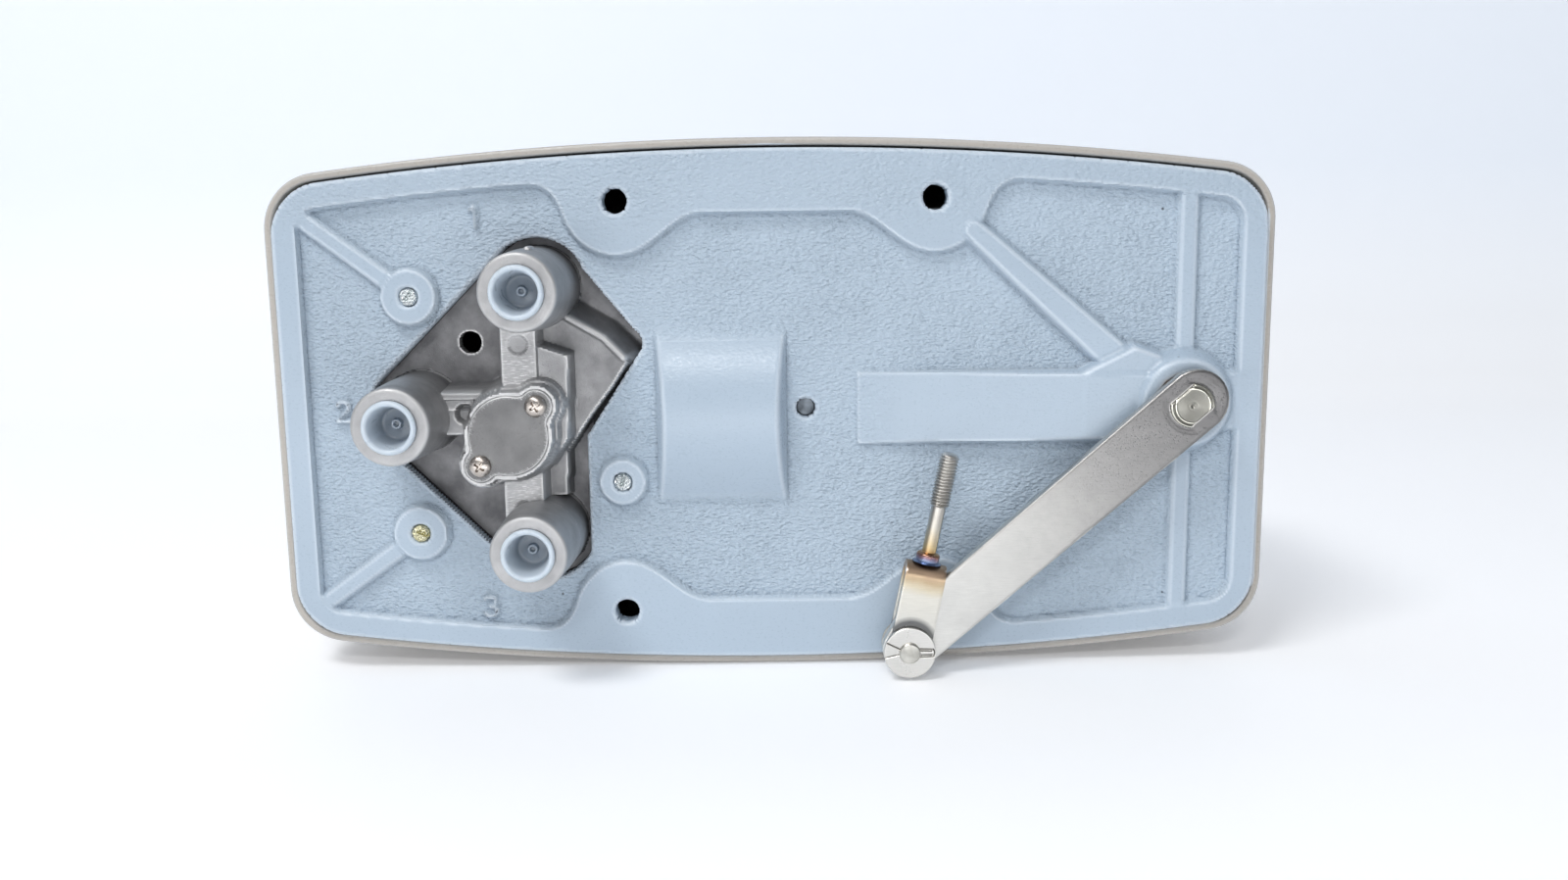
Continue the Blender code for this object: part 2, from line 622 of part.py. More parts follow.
def build_manifold():
    back = FIELD + FLOOR + GAP + GASKET + GAP
    inner = back + FLANGE
    ear = 0.0062
    screws = [(place, ear) for place in MANIFOLD_SCREWS]
    around = TOWER_BASE + 0.004
    rim = belt([screws[0], screws[1], (PORTS["supply"], around), screws[2], (WINDOW_CORNER, 0.0065),
                (PORTS["output"], around)])
    manifold = flat("manifold", [rim], back, inner, collection=PARTS, soften=0.0004)
    joined = []
    for name, place in PORTS.items():
        tower = [(0, TOWER_FACE), (TOWER_TOP - 0.0009, TOWER_FACE), (TOWER_TOP, TOWER_FACE + 0.0009),
                 (TOWER_BASE - 0.0004, -0.001), (TOWER_BASE, inner - 0.001), (0, inner - 0.001)]
        joined.append(turned("tower_" + name, tower, place, steps=24, collection=TOOLS))
    floor = inner - 0.001
    for name, place, width in (("output", PORTS["output"], 0.0050), ("supply", PORTS["supply"], 0.0055),
                               ("instrument", PORTS["instrument"], 0.0062)):
        if name == "instrument":
            ends = [(place, width), ((CHAMBER[0], place[1] + 0.0008), width)]
        else:
            ends = [((CHAMBER[0] + 0.0026, place[1]), width), ((CHAMBER[0] + 0.0026, CHAMBER[1]), width)]
        face = ARM_FACE + ARM_STEPS[name]
        joined.append(flat("arm_" + name, [belt(ends)], face, floor + ARM_STEPS[name] / 2, soften=0.0005))
    ridge = (PORTS["instrument"][1] + 0.0052, PORTS["instrument"][1] + 0.0022)
    for number, height in enumerate(ridge):
        run = belt([((PORTS["instrument"][0] + 0.008, height), 0.0006), ((CHAMBER[0], height), 0.0006)])
        joined.append(flat("ridge_%d" % number, [run], ARM_FACE - 0.0006, ARM_FACE + 0.002))
    corners = ((-60.2, 15.0, 0.0025), (-70.0, 19.0, 0.0025), (-72.0, -15.0, 0.0040), (-61.0, -8.0, 0.0030))
    block = belt([((x * WIDE, z * TALL), radius) for x, z, radius in corners])
    joined.append(flat("block", [block], ARM_FACE + 0.0010, floor - 0.0003, soften=0.0008))
    wedge = [(x * WIDE, z * TALL) for x, z in (
        (-60.0, 28.5), (-47.5, 20.5), (-44.2, 18.0), (-42.0, 15.2), (-49.0, 6.0), (-57.8, -4.5),
        (-57.8, -24.0), (-68.0, -24.0), (-68.0, 28.5))]
    joined.append(flat("wedge", [wedge], 0.0, floor - 0.0006, soften=0.0010))
    joined.append(bevel(cap_shape("cap_seat", 0.0020, CAP_FACE, floor - 0.0009), 0.0005))
    nub = (PORTS["output"][0] + 0.0010, PORTS["output"][1] + TOWER_TOP + 0.0006)
    joined.append(pin("ejector_nub", 0.0012, -0.0150, 0.0, nub, collection=TOOLS, steps=12))
    combine(manifold, joined, "UNION", "MANIFOLD")

    cuts = []
    cuts.append(cap_shape("cap_recess", GAP, CAP_FACE - 0.01, CAP_FACE + CAP_THICKNESS))
    cuts.append(drill("chamber", CHAMBER_RADIUS, CAP_FACE - 0.01, inner - 0.003, CHAMBER))
    for number, place in enumerate(cap_screws()):
        cuts.append(drill("cap_thread_%d" % number, CAP_SCREW_RADIUS + RUN, CAP_FACE, 0.0, place, steps=12))
    for name, place in PORTS.items():
        cuts.append(drill("port_" + name, PORT_RADIUS, TOWER_FACE - 0.01, TOWER_FACE + PORT_DEPTH, place))
        cuts.append(drill("passage_" + name, PASSAGE, TOWER_FACE, inner + 0.01, place, steps=16))
    for number, place in enumerate(MANIFOLD_SCREWS):
        cuts.append(drill("flange_hole_%d" % number, SCREW_RADIUS + RUN, -0.01, 0.03, place, steps=16))
    cuts.append(drill("vent", 0.00325, 0.0, 0.03, (-87.9 * WIDE, 19.5 * TALL), steps=16))
    marks = ((-71.2, 19.9), (-71.2, -26.6), (-86.8, 0.8))
    for number, (x, z) in enumerate(marks):
        place = (x * WIDE, z * TALL)
        cuts.append(drill("mark_%d" % number, 0.0026, ARM_FACE - 0.01, ARM_FACE + 0.00035, place, steps=16))
    combine(manifold, cuts, solver="MANIFOLD")
    return cast_aluminium(manifold)



def screws(name, places, profile, steps=16, cross=None):
    """Equal screws at several places; cross holds a slot's width, floor and half length."""
    for number, place in enumerate(places, 1):
        screw = turned("%s_%d" % (name, number), profile, place, steps=steps)
        for axis, (x, z) in enumerate(((cross[0] / 2, cross[2]), (cross[2], cross[0] / 2)) if cross else ()):
            box = [(place[0] + a * x, place[1] + b * z) for a, b in ((-1, -1), (1, -1), (1, 1), (-1, 1))]
            slot = flat("%s_cross_%d_%d" % (name, number, axis), [box], cross[1] - 0.005, cross[1])
            combine(screw, [slot])
        nickel(screw)


def build_manifold_fittings():
    back = FIELD + FLOOR + GAP
    ear = 0.0062
    around = TOWER_BASE + 0.004
    rim = belt([(MANIFOLD_SCREWS[0], ear), (MANIFOLD_SCREWS[1], ear), (PORTS["supply"], around),
                (MANIFOLD_SCREWS[2], ear), (WINDOW_CORNER, 0.0065), (PORTS["output"], around)])
    gasket = flat("manifold_gasket", [rim], back, back + GASKET, collection=PARTS)
    cuts = [flat("gasket_window_%d" % i, [outline], back - 0.01, back + 0.01)
            for i, outline in enumerate(window_outlines())]
    cuts += [drill("gasket_hole_%d" % i, SCREW_RADIUS + RUN, -0.01, 0.03, place, steps=16)
             for i, place in enumerate(MANIFOLD_SCREWS)]
    combine(gasket, cuts)
    rubber(gasket)

    head = back + GASKET + GAP + FLANGE + GAP
    screws("manifold_screw", MANIFOLD_SCREWS,
           [(0, -0.0004), (SCREW_RADIUS - 0.0006, -0.0004), (SCREW_RADIUS, 0.0003), (SCREW_RADIUS, head),
            (SCREW_HEAD, head), (SCREW_HEAD, head + SCREW_HEAD_HEIGHT), (0, head + SCREW_HEAD_HEIGHT)])
    seat = CAP_FACE + CAP_THICKNESS - GAP
    cap = cap_shape("filter_cap", 0.0, CAP_FACE, seat, collection=PARTS)
    combine(cap, [drill("cap_hole_%d" % i, CAP_SCREW_RADIUS + RUN, -0.03, 0.0, place, steps=12)
                  for i, place in enumerate(cap_screws())])
    cast_aluminium(cap)
    crown = CAP_FACE - GAP
    screws("filter_cap_screw", cap_screws(),
           [(0, crown - 0.0018), (0.0017, crown - 0.0016), (0.0027, crown - 0.0009), (0.0029, crown),
            (CAP_SCREW_RADIUS, crown), (CAP_SCREW_RADIUS, crown + 0.0090), (0, crown + 0.0090)],
           cross=(0.0006, crown - 0.0008, 0.0016))
    filter_back = FIELD + FLOOR + 2 * GAP + GASKET + FLANGE - 0.003
    element = turned("filter_element", [(0.0030, seat + GAP), (CHAMBER_RADIUS - 0.0012, seat + GAP),
                                        (CHAMBER_RADIUS - 0.0012, filter_back - GAP),
                                        (0.0030, filter_back - GAP)], CHAMBER, closed=True)
    bronze(element)
    for name, place in PORTS.items():
        lip = TOWER_FACE - GAP
        deep = TOWER_FACE + 0.0100
        plug = turned("port_plug_" + name,
                      [(0, deep - 0.0022), (0.0013, deep - 0.0022), (0.0013, deep - 0.0014),
                       (0.0050, deep - 0.0014), (0.0055, lip - 0.0010), (0.0060, lip - 0.0013),
                       (0.0071, lip - 0.0010), (0.0073, lip - 0.0006), (0.0073, lip),
                       (PORT_RADIUS - GAP, lip), (PORT_RADIUS - 0.0006, deep), (0, deep)], place, steps=20)
        finish(plug, "clear_plug", "DCE6EE", 0.30, 0.0)


# Feedback shaft, its bushes and the lever

def double_d(grow):
    """Outline of the shaft's flatted end, its flats along the lever, enlarged by grow."""
    radius = SHAFT_RADIUS + grow
    side = SHAFT_FLATS + grow
    lean = math.degrees(math.asin(side / radius))
    return arc((0, 0), radius, -lean, lean, 8.0) + arc((0, 0), radius, 180 - lean, 180 + lean, 8.0)


def build_bushes():
    inner = SHAFT_RADIUS + RUN
    outer = inner + BUSH_WALL
    rear = HUB_FACE - GAP
    bush = turned("rear_bush", [(outer + 0.0006, rear - BUSH_FLANGE), (outer + 0.0006, rear), (outer, rear),
                                (outer, 0.0080), (inner, 0.0080), (inner, rear - BUSH_FLANGE)], SHAFT,
                  steps=24, closed=True)
    bronze(bush)
    front = HUB_INSIDE + GAP
    bush = turned("front_bush", [(outer, 0.0120), (outer, front), (outer + 0.0022, front),
                                 (outer + 0.0022, front + BUSH_FLANGE), (inner, front + BUSH_FLANGE),
                                 (inner, 0.0120)], SHAFT, steps=24, closed=True)
    bronze(bush)


def cam_outline():
    """Cam edge: the path of the roller round the shaft, drawn in by the roller's radius."""
    centres = []
    count = 28
    margin = 9.0
    for i in range(count + 1):
        turn = -margin + (LEVER_TRAVEL + 2 * margin) * i / count
        follow = ARM_START - ARM_RATIO * turn
        roller = on_circle(ARM_PIVOT, ARM_LENGTH, -90.0 + follow)
        x, z = roller[0] - SHAFT[0], roller[1] - SHAFT[1]
        back = math.radians(turn)
        centres.append((x * math.cos(back) - z * math.sin(back), x * math.sin(back) + z * math.cos(back)))
    reach = ROLLER_RADIUS + GAP
    edge = []
    for i in range(1, count):
        dx = centres[i + 1][0] - centres[i - 1][0]
        dz = centres[i + 1][1] - centres[i - 1][1]
        span = math.hypot(dx, dz)
        edge.append((centres[i][0] - dz / span * reach, centres[i][1] + dx / span * reach))
    start = direction((0, 0), edge[-1]) + 40.0
    sweep = (direction((0, 0), edge[0]) - 40.0 - start) % 360.0
    return edge + arc((0, 0), 0.0120, start, start + sweep, 20.0)


def build_shaft():
    # The pivot's own X axis runs along the lever, from the shaft to the pin
    pivot = joint("lever_pivot", (SHAFT[0], 0.0, SHAFT[1]), turn=180.0 - LEVER_DROP)
    lever_back = LEVER_FRONT + LEVER_THICKNESS
    nut_back = CAM_BACK + CAM_THICKNESS + GAP
    profile = [(0, LEVER_FRONT - 0.0002), (0.0004, LEVER_FRONT - 0.0006),
               (SHAFT_RADIUS - 0.0003, LEVER_FRONT - 0.0008), (SHAFT_RADIUS, LEVER_FRONT - 0.0005),
               (SHAFT_RADIUS, CAM_BACK - 0.0024), (CAM_SEAT, CAM_BACK - 0.0024),
               (CAM_SEAT, nut_back + 0.0065), (0, nut_back + 0.0065)]
    shaft = turned("feedback_shaft", profile, (0, 0), steps=24, parent=pivot)
    low, high = LEVER_FRONT - 0.002, lever_back + GAP / 2
    for name, side in (("flat_above", -1), ("flat_below", 1)):
        edge = side * SHAFT_FLATS
        slab = [(-0.01, edge), (0.01, edge), (0.01, side * 0.01), (-0.01, side * 0.01)]
        combine(shaft, [flat(name, [slab], low, high, parent=pivot)])
    steel(shaft)

    far = (LEVER_LENGTH, 0.0)
    upper = (LEVER_LENGTH - 0.0040, LEVER_TIP - LEVER_WIDTH / 2)
    outline = belt([((-LEVER_BEYOND, 0.0), LEVER_WIDTH / 2), (upper, LEVER_TIP), (far, LEVER_TIP)], 12.0)
    lever = flat("lever", [outline, double_d(GAP), circle(far, PIN_RADIUS + RUN, 20)],
                 LEVER_FRONT, lever_back, collection=PARTS, parent=pivot)
    bevel(lever, 0.0003)
    steel(lever)

    clip_back = HUB_INSIDE + GAP + BUSH_FLANGE + GAP
    inner = SHAFT_RADIUS + GAP
    clip = turned("shaft_collar", [(0.0095, clip_back), (0.0095, clip_back + 0.0011),
                                   (inner, clip_back + 0.0011), (inner, clip_back)],
                  (0, 0), steps=24, closed=True, parent=pivot)
    steel(clip)
    bore = circle((0, 0), CAM_SEAT + GAP, 24)
    cam = flat("cam", [turn_back(cam_outline()), bore], CAM_BACK, CAM_BACK + CAM_THICKNESS,
               collection=PARTS, parent=pivot)
    steel(cam)
    nut = flat("cam_nut", [circle((0, 0), 0.0075, 6), bore], nut_back, nut_back + 0.0050,
               collection=PARTS, parent=pivot)
    steel(nut)
    return pivot


def turn_back(points):
    """World directions round the shaft, seen in the lever's own axes."""
    angle = math.radians(180.0 - LEVER_DROP)
    return [(x * math.cos(angle) - z * math.sin(angle), x * math.sin(angle) + z * math.cos(angle))
            for x, z in points]


# Clevis on the lever's end

def clevis_lean():
    """Degrees right of upright at which the bend's corner meets the lever's edge."""
    reach = STRAP_BEND + 0.0010
    half = STRAP_WIDTH / 2
    rest = LEVER_WIDTH / 2 + GAP / 2
    between = math.degrees(math.asin(rest / math.hypot(reach, half)) + math.atan2(half, reach))
    return 90.0 - LEVER_DROP - between


def build_clevis(pivot):
    middle = LEVER_FRONT + LEVER_THICKNESS / 2
    upright = -(180.0 - LEVER_DROP)
    swivel = joint("clevis_pivot", (LEVER_LENGTH, middle, 0.0), turn=upright + clevis_lean(), parent=pivot)
    inner = LEVER_THICKNESS / 2 + GAP
    outer = inner + STRAP
    section = [(outer, -0.0080)] + arc((0, STRAP_BEND), outer, 0, 180, 20.0)
    section += [(-outer, -0.0080), (-inner, -0.0080)] + arc((0, STRAP_BEND), inner, 180, 0, 30.0)
    section += [(inner, -0.0080)]
    clevis = flat("clevis", [section], -STRAP_WIDTH / 2, STRAP_WIDTH / 2, along="X",
                  collection=PARTS, parent=swivel)
    half = STRAP_WIDTH / 2
    ear = arc((0, 0), half, 180, 360, 18.0) + [(half, STRAP_BEND + 0.01), (-half, STRAP_BEND + 0.01)]
    step = clevis.modifiers.new("ear", "BOOLEAN")
    step.operation = "INTERSECT"
    step.object = flat("ear", [ear], -0.01, 0.01, parent=swivel)
    step.solver = "EXACT"
    combine(clevis, [drill("ear_hole", PIN_RADIUS + RUN, -0.01, 0.01, (0, 0), steps=20, parent=swivel)])
    steel(clevis)

    seat = STRAP_BEND + outer + GAP / 2
    profile = [(0, ROD_LENGTH), (0.0009, ROD_LENGTH - 0.0001), (0.0018, ROD_LENGTH - 0.0009)]
    height = ROD_LENGTH - 0.0012
    for turn in range(THREAD_TURNS):
        profile += [(THREAD_RADIUS, height - 0.4 * THREAD_PITCH),
                    (THREAD_RADIUS - 0.0004, height - 0.9 * THREAD_PITCH)]
        height -= THREAD_PITCH
    profile += [(ROD_RADIUS, height - 0.0006), (ROD_RADIUS, seat + 0.0030), (0.0031, seat + 0.0026),
                (0.0033, seat + 0.0020), (0.0033, seat), (0, seat)]
    rod = turned("clevis_rod", profile, (0, 0), along="Z", steps=10, parent=swivel)
    steel(rod)

    head = outer + GAP
    ring_back = -(outer + GAP)
    ring_front = ring_back - RING_THICKNESS
    neck = PIN_RADIUS - 0.0007
    profile = [(0, ring_front - 0.0008), (PIN_RADIUS - 0.0004, ring_front - 0.0008),
               (PIN_RADIUS, ring_front - 0.0004), (PIN_RADIUS, ring_front - 0.0002),
               (neck, ring_front - 0.0002), (neck, ring_back + 0.0001), (PIN_RADIUS, ring_back + 0.0001),
               (PIN_RADIUS, head), (PIN_HEAD, head), (PIN_HEAD, head + 0.0006),
               (PIN_HEAD - 0.0003, head + 0.0009), (0, head + 0.0009)]
    clevis_pin = turned("clevis_pin", profile, (0, 0), parent=swivel)
    steel(clevis_pin)
    ring = flat("retaining_ring", [circle((0, 0), RING_RADIUS, 28), circle((0, 0), neck + GAP, 20)],
                ring_front, ring_back, collection=PARTS, parent=swivel)
    # The two halves interlock: their seams are grooves, two straight and one round a prong
    seam = 0.00012
    depth = ring_front + RING_THICKNESS / 2
    cuts = []
    for number, lean in enumerate((150.0, 196.0)):
        ends = on_circle((0, 0), 0.0020, lean), on_circle((0, 0), 0.0100, lean + 4)
        run = belt([(end, seam) for end in ends], 90.0)
        cuts.append(flat("ring_seam_%d" % number, [run], ring_front - 0.01, depth, parent=swivel))
    half = [(0.0020, 0.0011), (0.0062, 0.0011), (0.0068, 0.0005)]
    inside = [(0.0066, 0.0004), (0.0061, 0.0009), (0.0020, 0.0009)]
    prong = half + [(x, -z) for x, z in half[::-1] + inside[::-1]] + inside
    cuts.append(flat("ring_prong", [prong], ring_front - 0.01, depth, parent=swivel))
    combine(ring, cuts)
    steel(ring)
    return swivel


# Mechanism plate, follower and range spring

def build_plate():
    far = PLATE_BACK + PLATE_THICKNESS
    outline = belt([(place, 0.0080) for place in PLATE_CORNERS])
    holes = [circle(place, SCREW_RADIUS + RUN, 16) for place in PLATE_SCREWS]
    window = belt([((0.0300, -0.0220), 0.0060), ((0.0480, -0.0220), 0.0060), ((0.0480, -0.0120), 0.0060),
                   ((0.0300, -0.0120), 0.0060)])
    plate = flat("mechanism_plate", [outline, window] + holes, PLATE_BACK, far, collection=PARTS)
    aluminium(plate)
    head = far + GAP
    screws("plate_screw", PLATE_SCREWS,
           [(0, FIELD + 0.0030), (SCREW_RADIUS, FIELD + 0.0030), (SCREW_RADIUS, head), (SCREW_HEAD, head),
            (SCREW_HEAD, head + SCREW_HEAD_HEIGHT), (0, head + SCREW_HEAD_HEIGHT)])
    post = turned("arm_pivot_post", [(0, far + GAP), (0.0050, far + GAP), (0.0050, ARM_BACK - GAP),
                                     (0.0030, ARM_BACK - GAP), (0.0030, ARM_BACK + ARM_THICKNESS + 0.0025),
                                     (0, ARM_BACK + ARM_THICKNESS + 0.0025)], ARM_PIVOT)
    steel(post)
    clip = turned("arm_clip", [(0.0050, ARM_BACK + ARM_THICKNESS + GAP),
                               (0.0050, ARM_BACK + ARM_THICKNESS + 0.0012),
                               (0.0033, ARM_BACK + ARM_THICKNESS + 0.0012),
                               (0.0033, ARM_BACK + ARM_THICKNESS + GAP)], ARM_PIVOT, closed=True)
    steel(clip)



def rivet(name, place, head, end, parent):
    """A headed axle through the follower arm, its second head between head and end on Y."""
    profile = [(0, ARM_BACK - 0.0010), (0.0026, ARM_BACK - 0.0010), (0.0026, ARM_BACK - GAP),
               (AXLE_RADIUS, ARM_BACK - GAP), (AXLE_RADIUS, head), (0.0026, head), (0.0026, end), (0, end)]
    return turned(name, profile, place, parent=parent)


def build_follower():
    pivot = joint("follower_pivot", (ARM_PIVOT[0], 0.0, ARM_PIVOT[1]))
    roller = on_circle((0, 0), ARM_LENGTH, -90.0 + ARM_START)
    hook = on_circle((0, 0), SPRING_ARM, 180.0 + ARM_START)
    far = ARM_BACK + ARM_THICKNESS
    arm = flat("follower_arm", [belt([((0, 0), 0.0062), (roller, 0.0042)])], ARM_BACK, far, collection=PARTS,
               parent=pivot)
    branch = flat("hook_arm", [belt([((0, 0), 0.0062), (hook, 0.0042)])], ARM_BACK, far, parent=pivot)
    combine(arm, [branch], "UNION")
    combine(arm, [drill("arm_bore", 0.0030 + RUN, 0.0, 0.05, (0, 0), parent=pivot),
                  drill("arm_roller_bore", AXLE_RADIUS + RUN, 0.0, 0.05, roller, steps=12, parent=pivot),
                  drill("arm_hook_bore", AXLE_RADIUS + RUN, 0.0, 0.05, hook, steps=12, parent=pivot)])
    steel(arm)
    wheel_back = CAM_BACK - 0.0003
    wheel_front = CAM_BACK + CAM_THICKNESS + 0.0003
    steel(rivet("roller_axle", roller, wheel_front + GAP, wheel_front + 0.0010, pivot))
    spin = joint("roller_pivot", (roller[0], 0.0, roller[1]), parent=pivot)
    wheel = turned("follower_roller", [(ROLLER_RADIUS, wheel_back), (ROLLER_RADIUS, wheel_front),
                                       (AXLE_RADIUS + RUN, wheel_front), (AXLE_RADIUS + RUN, wheel_back)],
                   (0, 0), steps=32, closed=True, parent=spin)
    bronze(wheel)
    steel(rivet("spring_stud", hook, SPRING_Y + 0.0020, SPRING_Y + 0.0030, pivot))



def spring_places():
    """Top and bottom of the range spring: the follower's stud and the beam's hole."""
    hook = on_circle(ARM_PIVOT, SPRING_ARM, 180.0 + ARM_START)
    return hook[0], hook[1], BEAM_PIVOT[1] + BEAM_SPRING_END + GAP


def build_spring():
    """A helix with a straight hook at each end, as a round wire."""
    x, top, bottom = spring_places()
    low = bottom + 0.0045
    high = top - 0.0060
    points = [(x, SPRING_Y, bottom), (x, SPRING_Y, low)]
    count = SPRING_TURNS * 8
    for i in range(count + 1):
        angle = math.radians(45.0 * i)
        grow = min(1.0, i / 6, (count - i) / 6)
        across = SPRING_RADIUS * grow
        height = low + (high - low) * (i + 1) / (count + 2)
        points.append((x + across * math.sin(angle), SPRING_Y + across * math.cos(angle), height))
    points += [(x, SPRING_Y, high), (x, SPRING_Y, top - AXLE_RADIUS - GAP - SPRING_WIRE)]
    curve = bpy.data.curves.new("range_spring", "CURVE")
    curve.dimensions = "3D"
    curve.bevel_depth = SPRING_WIRE
    curve.bevel_resolution = 1
    curve.use_fill_caps = True
    spline = curve.splines.new("POLY")
    spline.points.add(len(points) - 1)
    for point, place in zip(spline.points, points):
        point.co = (*place, 1.0)
    spring = bpy.data.objects.new("range_spring", curve)
    PARTS.objects.link(spring)
    steel(spring)


# Beam, zero screw, signal capsule and pilot valve

def beam_ends():
    """Where the beam ends at the spring and at the pilot valve, and its half height there."""
    hook = spring_places()[0] - BEAM_PIVOT[0]
    return (hook, BEAM_SPRING_END), (SPOOL_X - BEAM_PIVOT[0], BEAM_VALVE_END)


def beam_edge(x):
    """Half height of the tapering beam at a place along X."""
    reach = x - BEAM_PIVOT[0]
    end, half = beam_ends()[0 if reach > 0 else 1]
    slope = (BEAM_HUB - half) / abs(end)
    return (BEAM_HUB - slope * abs(reach)) / math.sqrt(1 - slope ** 2)


def build_beam():
    pivot = joint("beam_pivot", (BEAM_PIVOT[0], 0.0, BEAM_PIVOT[1]))
    (hook, hook_half), (valve, valve_half) = beam_ends()
    front = BEAM_BACK + BEAM_THICKNESS
    hub = ((0, 0), BEAM_HUB)
    outline = belt([((hook, 0), hook_half), hub, ((valve, 0), valve_half), hub])
    beam = flat("beam", [outline, circle((0, 0), 0.0030 + RUN, 20)], BEAM_BACK, front,
                collection=PARTS, parent=pivot)
    aluminium(beam)
    far = PLATE_BACK + PLATE_THICKNESS
    post = turned("beam_post", [(0, far + 0.0036), (0.0055, far + 0.0036), (0.0055, BEAM_BACK - GAP),
                                (0.0030, BEAM_BACK - GAP), (0.0030, front + 0.0030), (0, front + 0.0030)],
                  BEAM_PIVOT)
    steel(post)
    clip = turned("beam_clip", [(0.0052, front + GAP), (0.0052, front + 0.0014), (0.0033, front + 0.0014),
                                (0.0033, front + GAP)], BEAM_PIVOT, closed=True)
    steel(clip)
    return pivot


def build_capsule():
    """Signal capsule under the beam: bracket, housing, bellows and push rod."""
    middle = BEAM_BACK + BEAM_THICKNESS / 2
    top = BEAM_PIVOT[1] - beam_edge(CAPSULE_X) - GAP
    shelf = BEAM_PIVOT[1] - CAPSULE_SHELF
    far = PLATE_BACK + PLATE_THICKNESS
    foot = shelf - 13.0 * TALL
    section = [(far + GAP, foot), (far + 0.0028, foot), (far + 0.0028, shelf - 0.0025),
               (middle + 0.0170, shelf - 0.0025), (middle + 0.0170, shelf), (far + GAP, shelf)]
    half = 0.0150
    bracket = flat("capsule_bracket", [section], CAPSULE_X - half, CAPSULE_X + half, along="X",
                   collection=PARTS)
    bevel(bracket, 0.0003)
    aluminium(bracket)
    base = shelf + GAP
    folds = [(0, base + BELLOWS), (0.0120, base + BELLOWS)]
    pitch = (BELLOWS - 0.0050) / 5
    for fold in range(5):
        height = base + BELLOWS - 0.0010 - fold * pitch
        folds += [(0.0135, height - pitch / 4), (0.0105, height - pitch * 3 / 4)]
    folds += [(0.0135, base + 0.0020), (0.0140, base + 0.0010), (0.0140, base), (0, base)]
    bellows = turned("signal_bellows", folds, (CAPSULE_X, middle), along="Z")
    bronze(bellows)
    slide = joint("capsule_slide", (CAPSULE_X, middle, base + BELLOWS))
    rod = turned("capsule_rod", [(0, top - base - BELLOWS), (0.0016, top - base - BELLOWS - 0.0006),
                                 (0.0020, top - base - BELLOWS - 0.0016), (0.0020, 0.0020), (0.0060, 0.0015),
                                 (0.0060, GAP), (0, GAP)], (0, 0), along="Z", steps=16, parent=slide)
    steel(rod)


def build_pilot():
    """Pilot valve on the manifold: a ported body and the spool that the beam pushes."""
    middle = BEAM_BACK + BEAM_THICKNESS / 2
    inner = FIELD + FLOOR + 2 * GAP + GASKET + FLANGE + GAP
    low, high = -0.0440, -0.0100
    radius = 0.0030
    foot, front = inner + 0.002, middle + 0.0020
    block = belt([((SPOOL_X - 0.0070, foot), 0.0019), ((SPOOL_X + 0.0070, foot), 0.0019),
                  ((SPOOL_X + 0.0020, front), 0.0060), ((SPOOL_X - 0.0020, front), 0.0060)])
    body = flat("pilot_body", [block], low, high, along="Z", collection=PARTS)
    combine(body, [drill("spool_bore", radius + RUN, low - 0.01, high + 0.01, (SPOOL_X, middle), along="Z")])
    grooves = [drill("body_port_%d" % i, 0.0020, inner - 0.001, middle, (SPOOL_X, low + 0.008 + 0.009 * i),
                     steps=12) for i in range(3)]
    combine(body, grooves)
    aluminium(body)
    slide = joint("spool_slide", (SPOOL_X, middle, 0.0))
    top = BEAM_PIVOT[1] - beam_edge(SPOOL_X) - GAP
    profile = [(0, top), (0.0012, top - 0.0002), (radius - 0.0004, top - 0.0008), (radius, top - 0.0012)]
    for land in range(3):
        height = high - 0.0030 - land * 0.0100
        profile += [(radius, height), (radius - 0.0012, height - 0.0008), (radius - 0.0012, height - 0.0040),
                    (radius, height - 0.0048)]
    profile += [(radius, low - 0.0030), (0, low - 0.0030)]
    spool = turned("pilot_spool", profile, (0, 0), along="Z", parent=slide)
    steel(spool)


def build_zero():
    """Zero adjustment: a knurled screw in a post, standing over the beam's right half."""
    far = PLATE_BACK + PLATE_THICKNESS
    middle = BEAM_BACK + BEAM_THICKNESS / 2
    nose = 0.0200
    section = [(far + GAP, nose - 0.004), (far + 0.0028, nose - 0.004), (far + 0.0028, nose),
               (middle + 0.0060, nose), (middle + 0.0060, nose + 0.0025), (far + GAP, nose + 0.0025)]
    bracket = flat("zero_bracket", [section], ZERO_X - 0.0060, ZERO_X + 0.0060, along="X", collection=PARTS)
    bore = drill("zero_bore", 0.0020 + RUN, nose - 0.01, nose + 0.01, (ZERO_X, middle), along="Z")
    combine(bracket, [bore])
    aluminium(bracket)
    pivot = joint("zero_pivot", (ZERO_X, middle, 0.0))
    lift = (ZERO_X - BEAM_PIVOT[0]) * math.tan(math.radians(BEAM_SWING))
    low = BEAM_PIVOT[1] + beam_edge(ZERO_X) + lift + GAP
    seat = nose + 0.0025 + GAP
    profile = [(0, seat + 0.0070), (0.0050, seat + 0.0070), (0.0056, seat + 0.0064), (0.0056, seat + 0.0006),
               (0.0050, seat), (0.0020, seat), (0.0020, low + 0.0010), (0.0012, low), (0, low)]
    screw = turned("zero_screw", profile, (0, 0), along="Z", steps=24, parent=pivot)
    finish(screw, "brass", "C9A44C", 0.3, 1.0)


build_case()
build_cover()
build_cover_fittings()
build_manifold()
build_manifold_fittings()
build_bushes()
lever_pivot = build_shaft()
build_clevis(lever_pivot)
build_plate()
build_follower()
build_spring()
build_beam()
build_capsule()
build_pilot()
build_zero()
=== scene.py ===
"""Looks of a pneumatic valve positioner, seen from the back that bolts to the valve."""
import math

import bmesh
import bpy
import numpy as np
from mathutils import Matrix, Vector


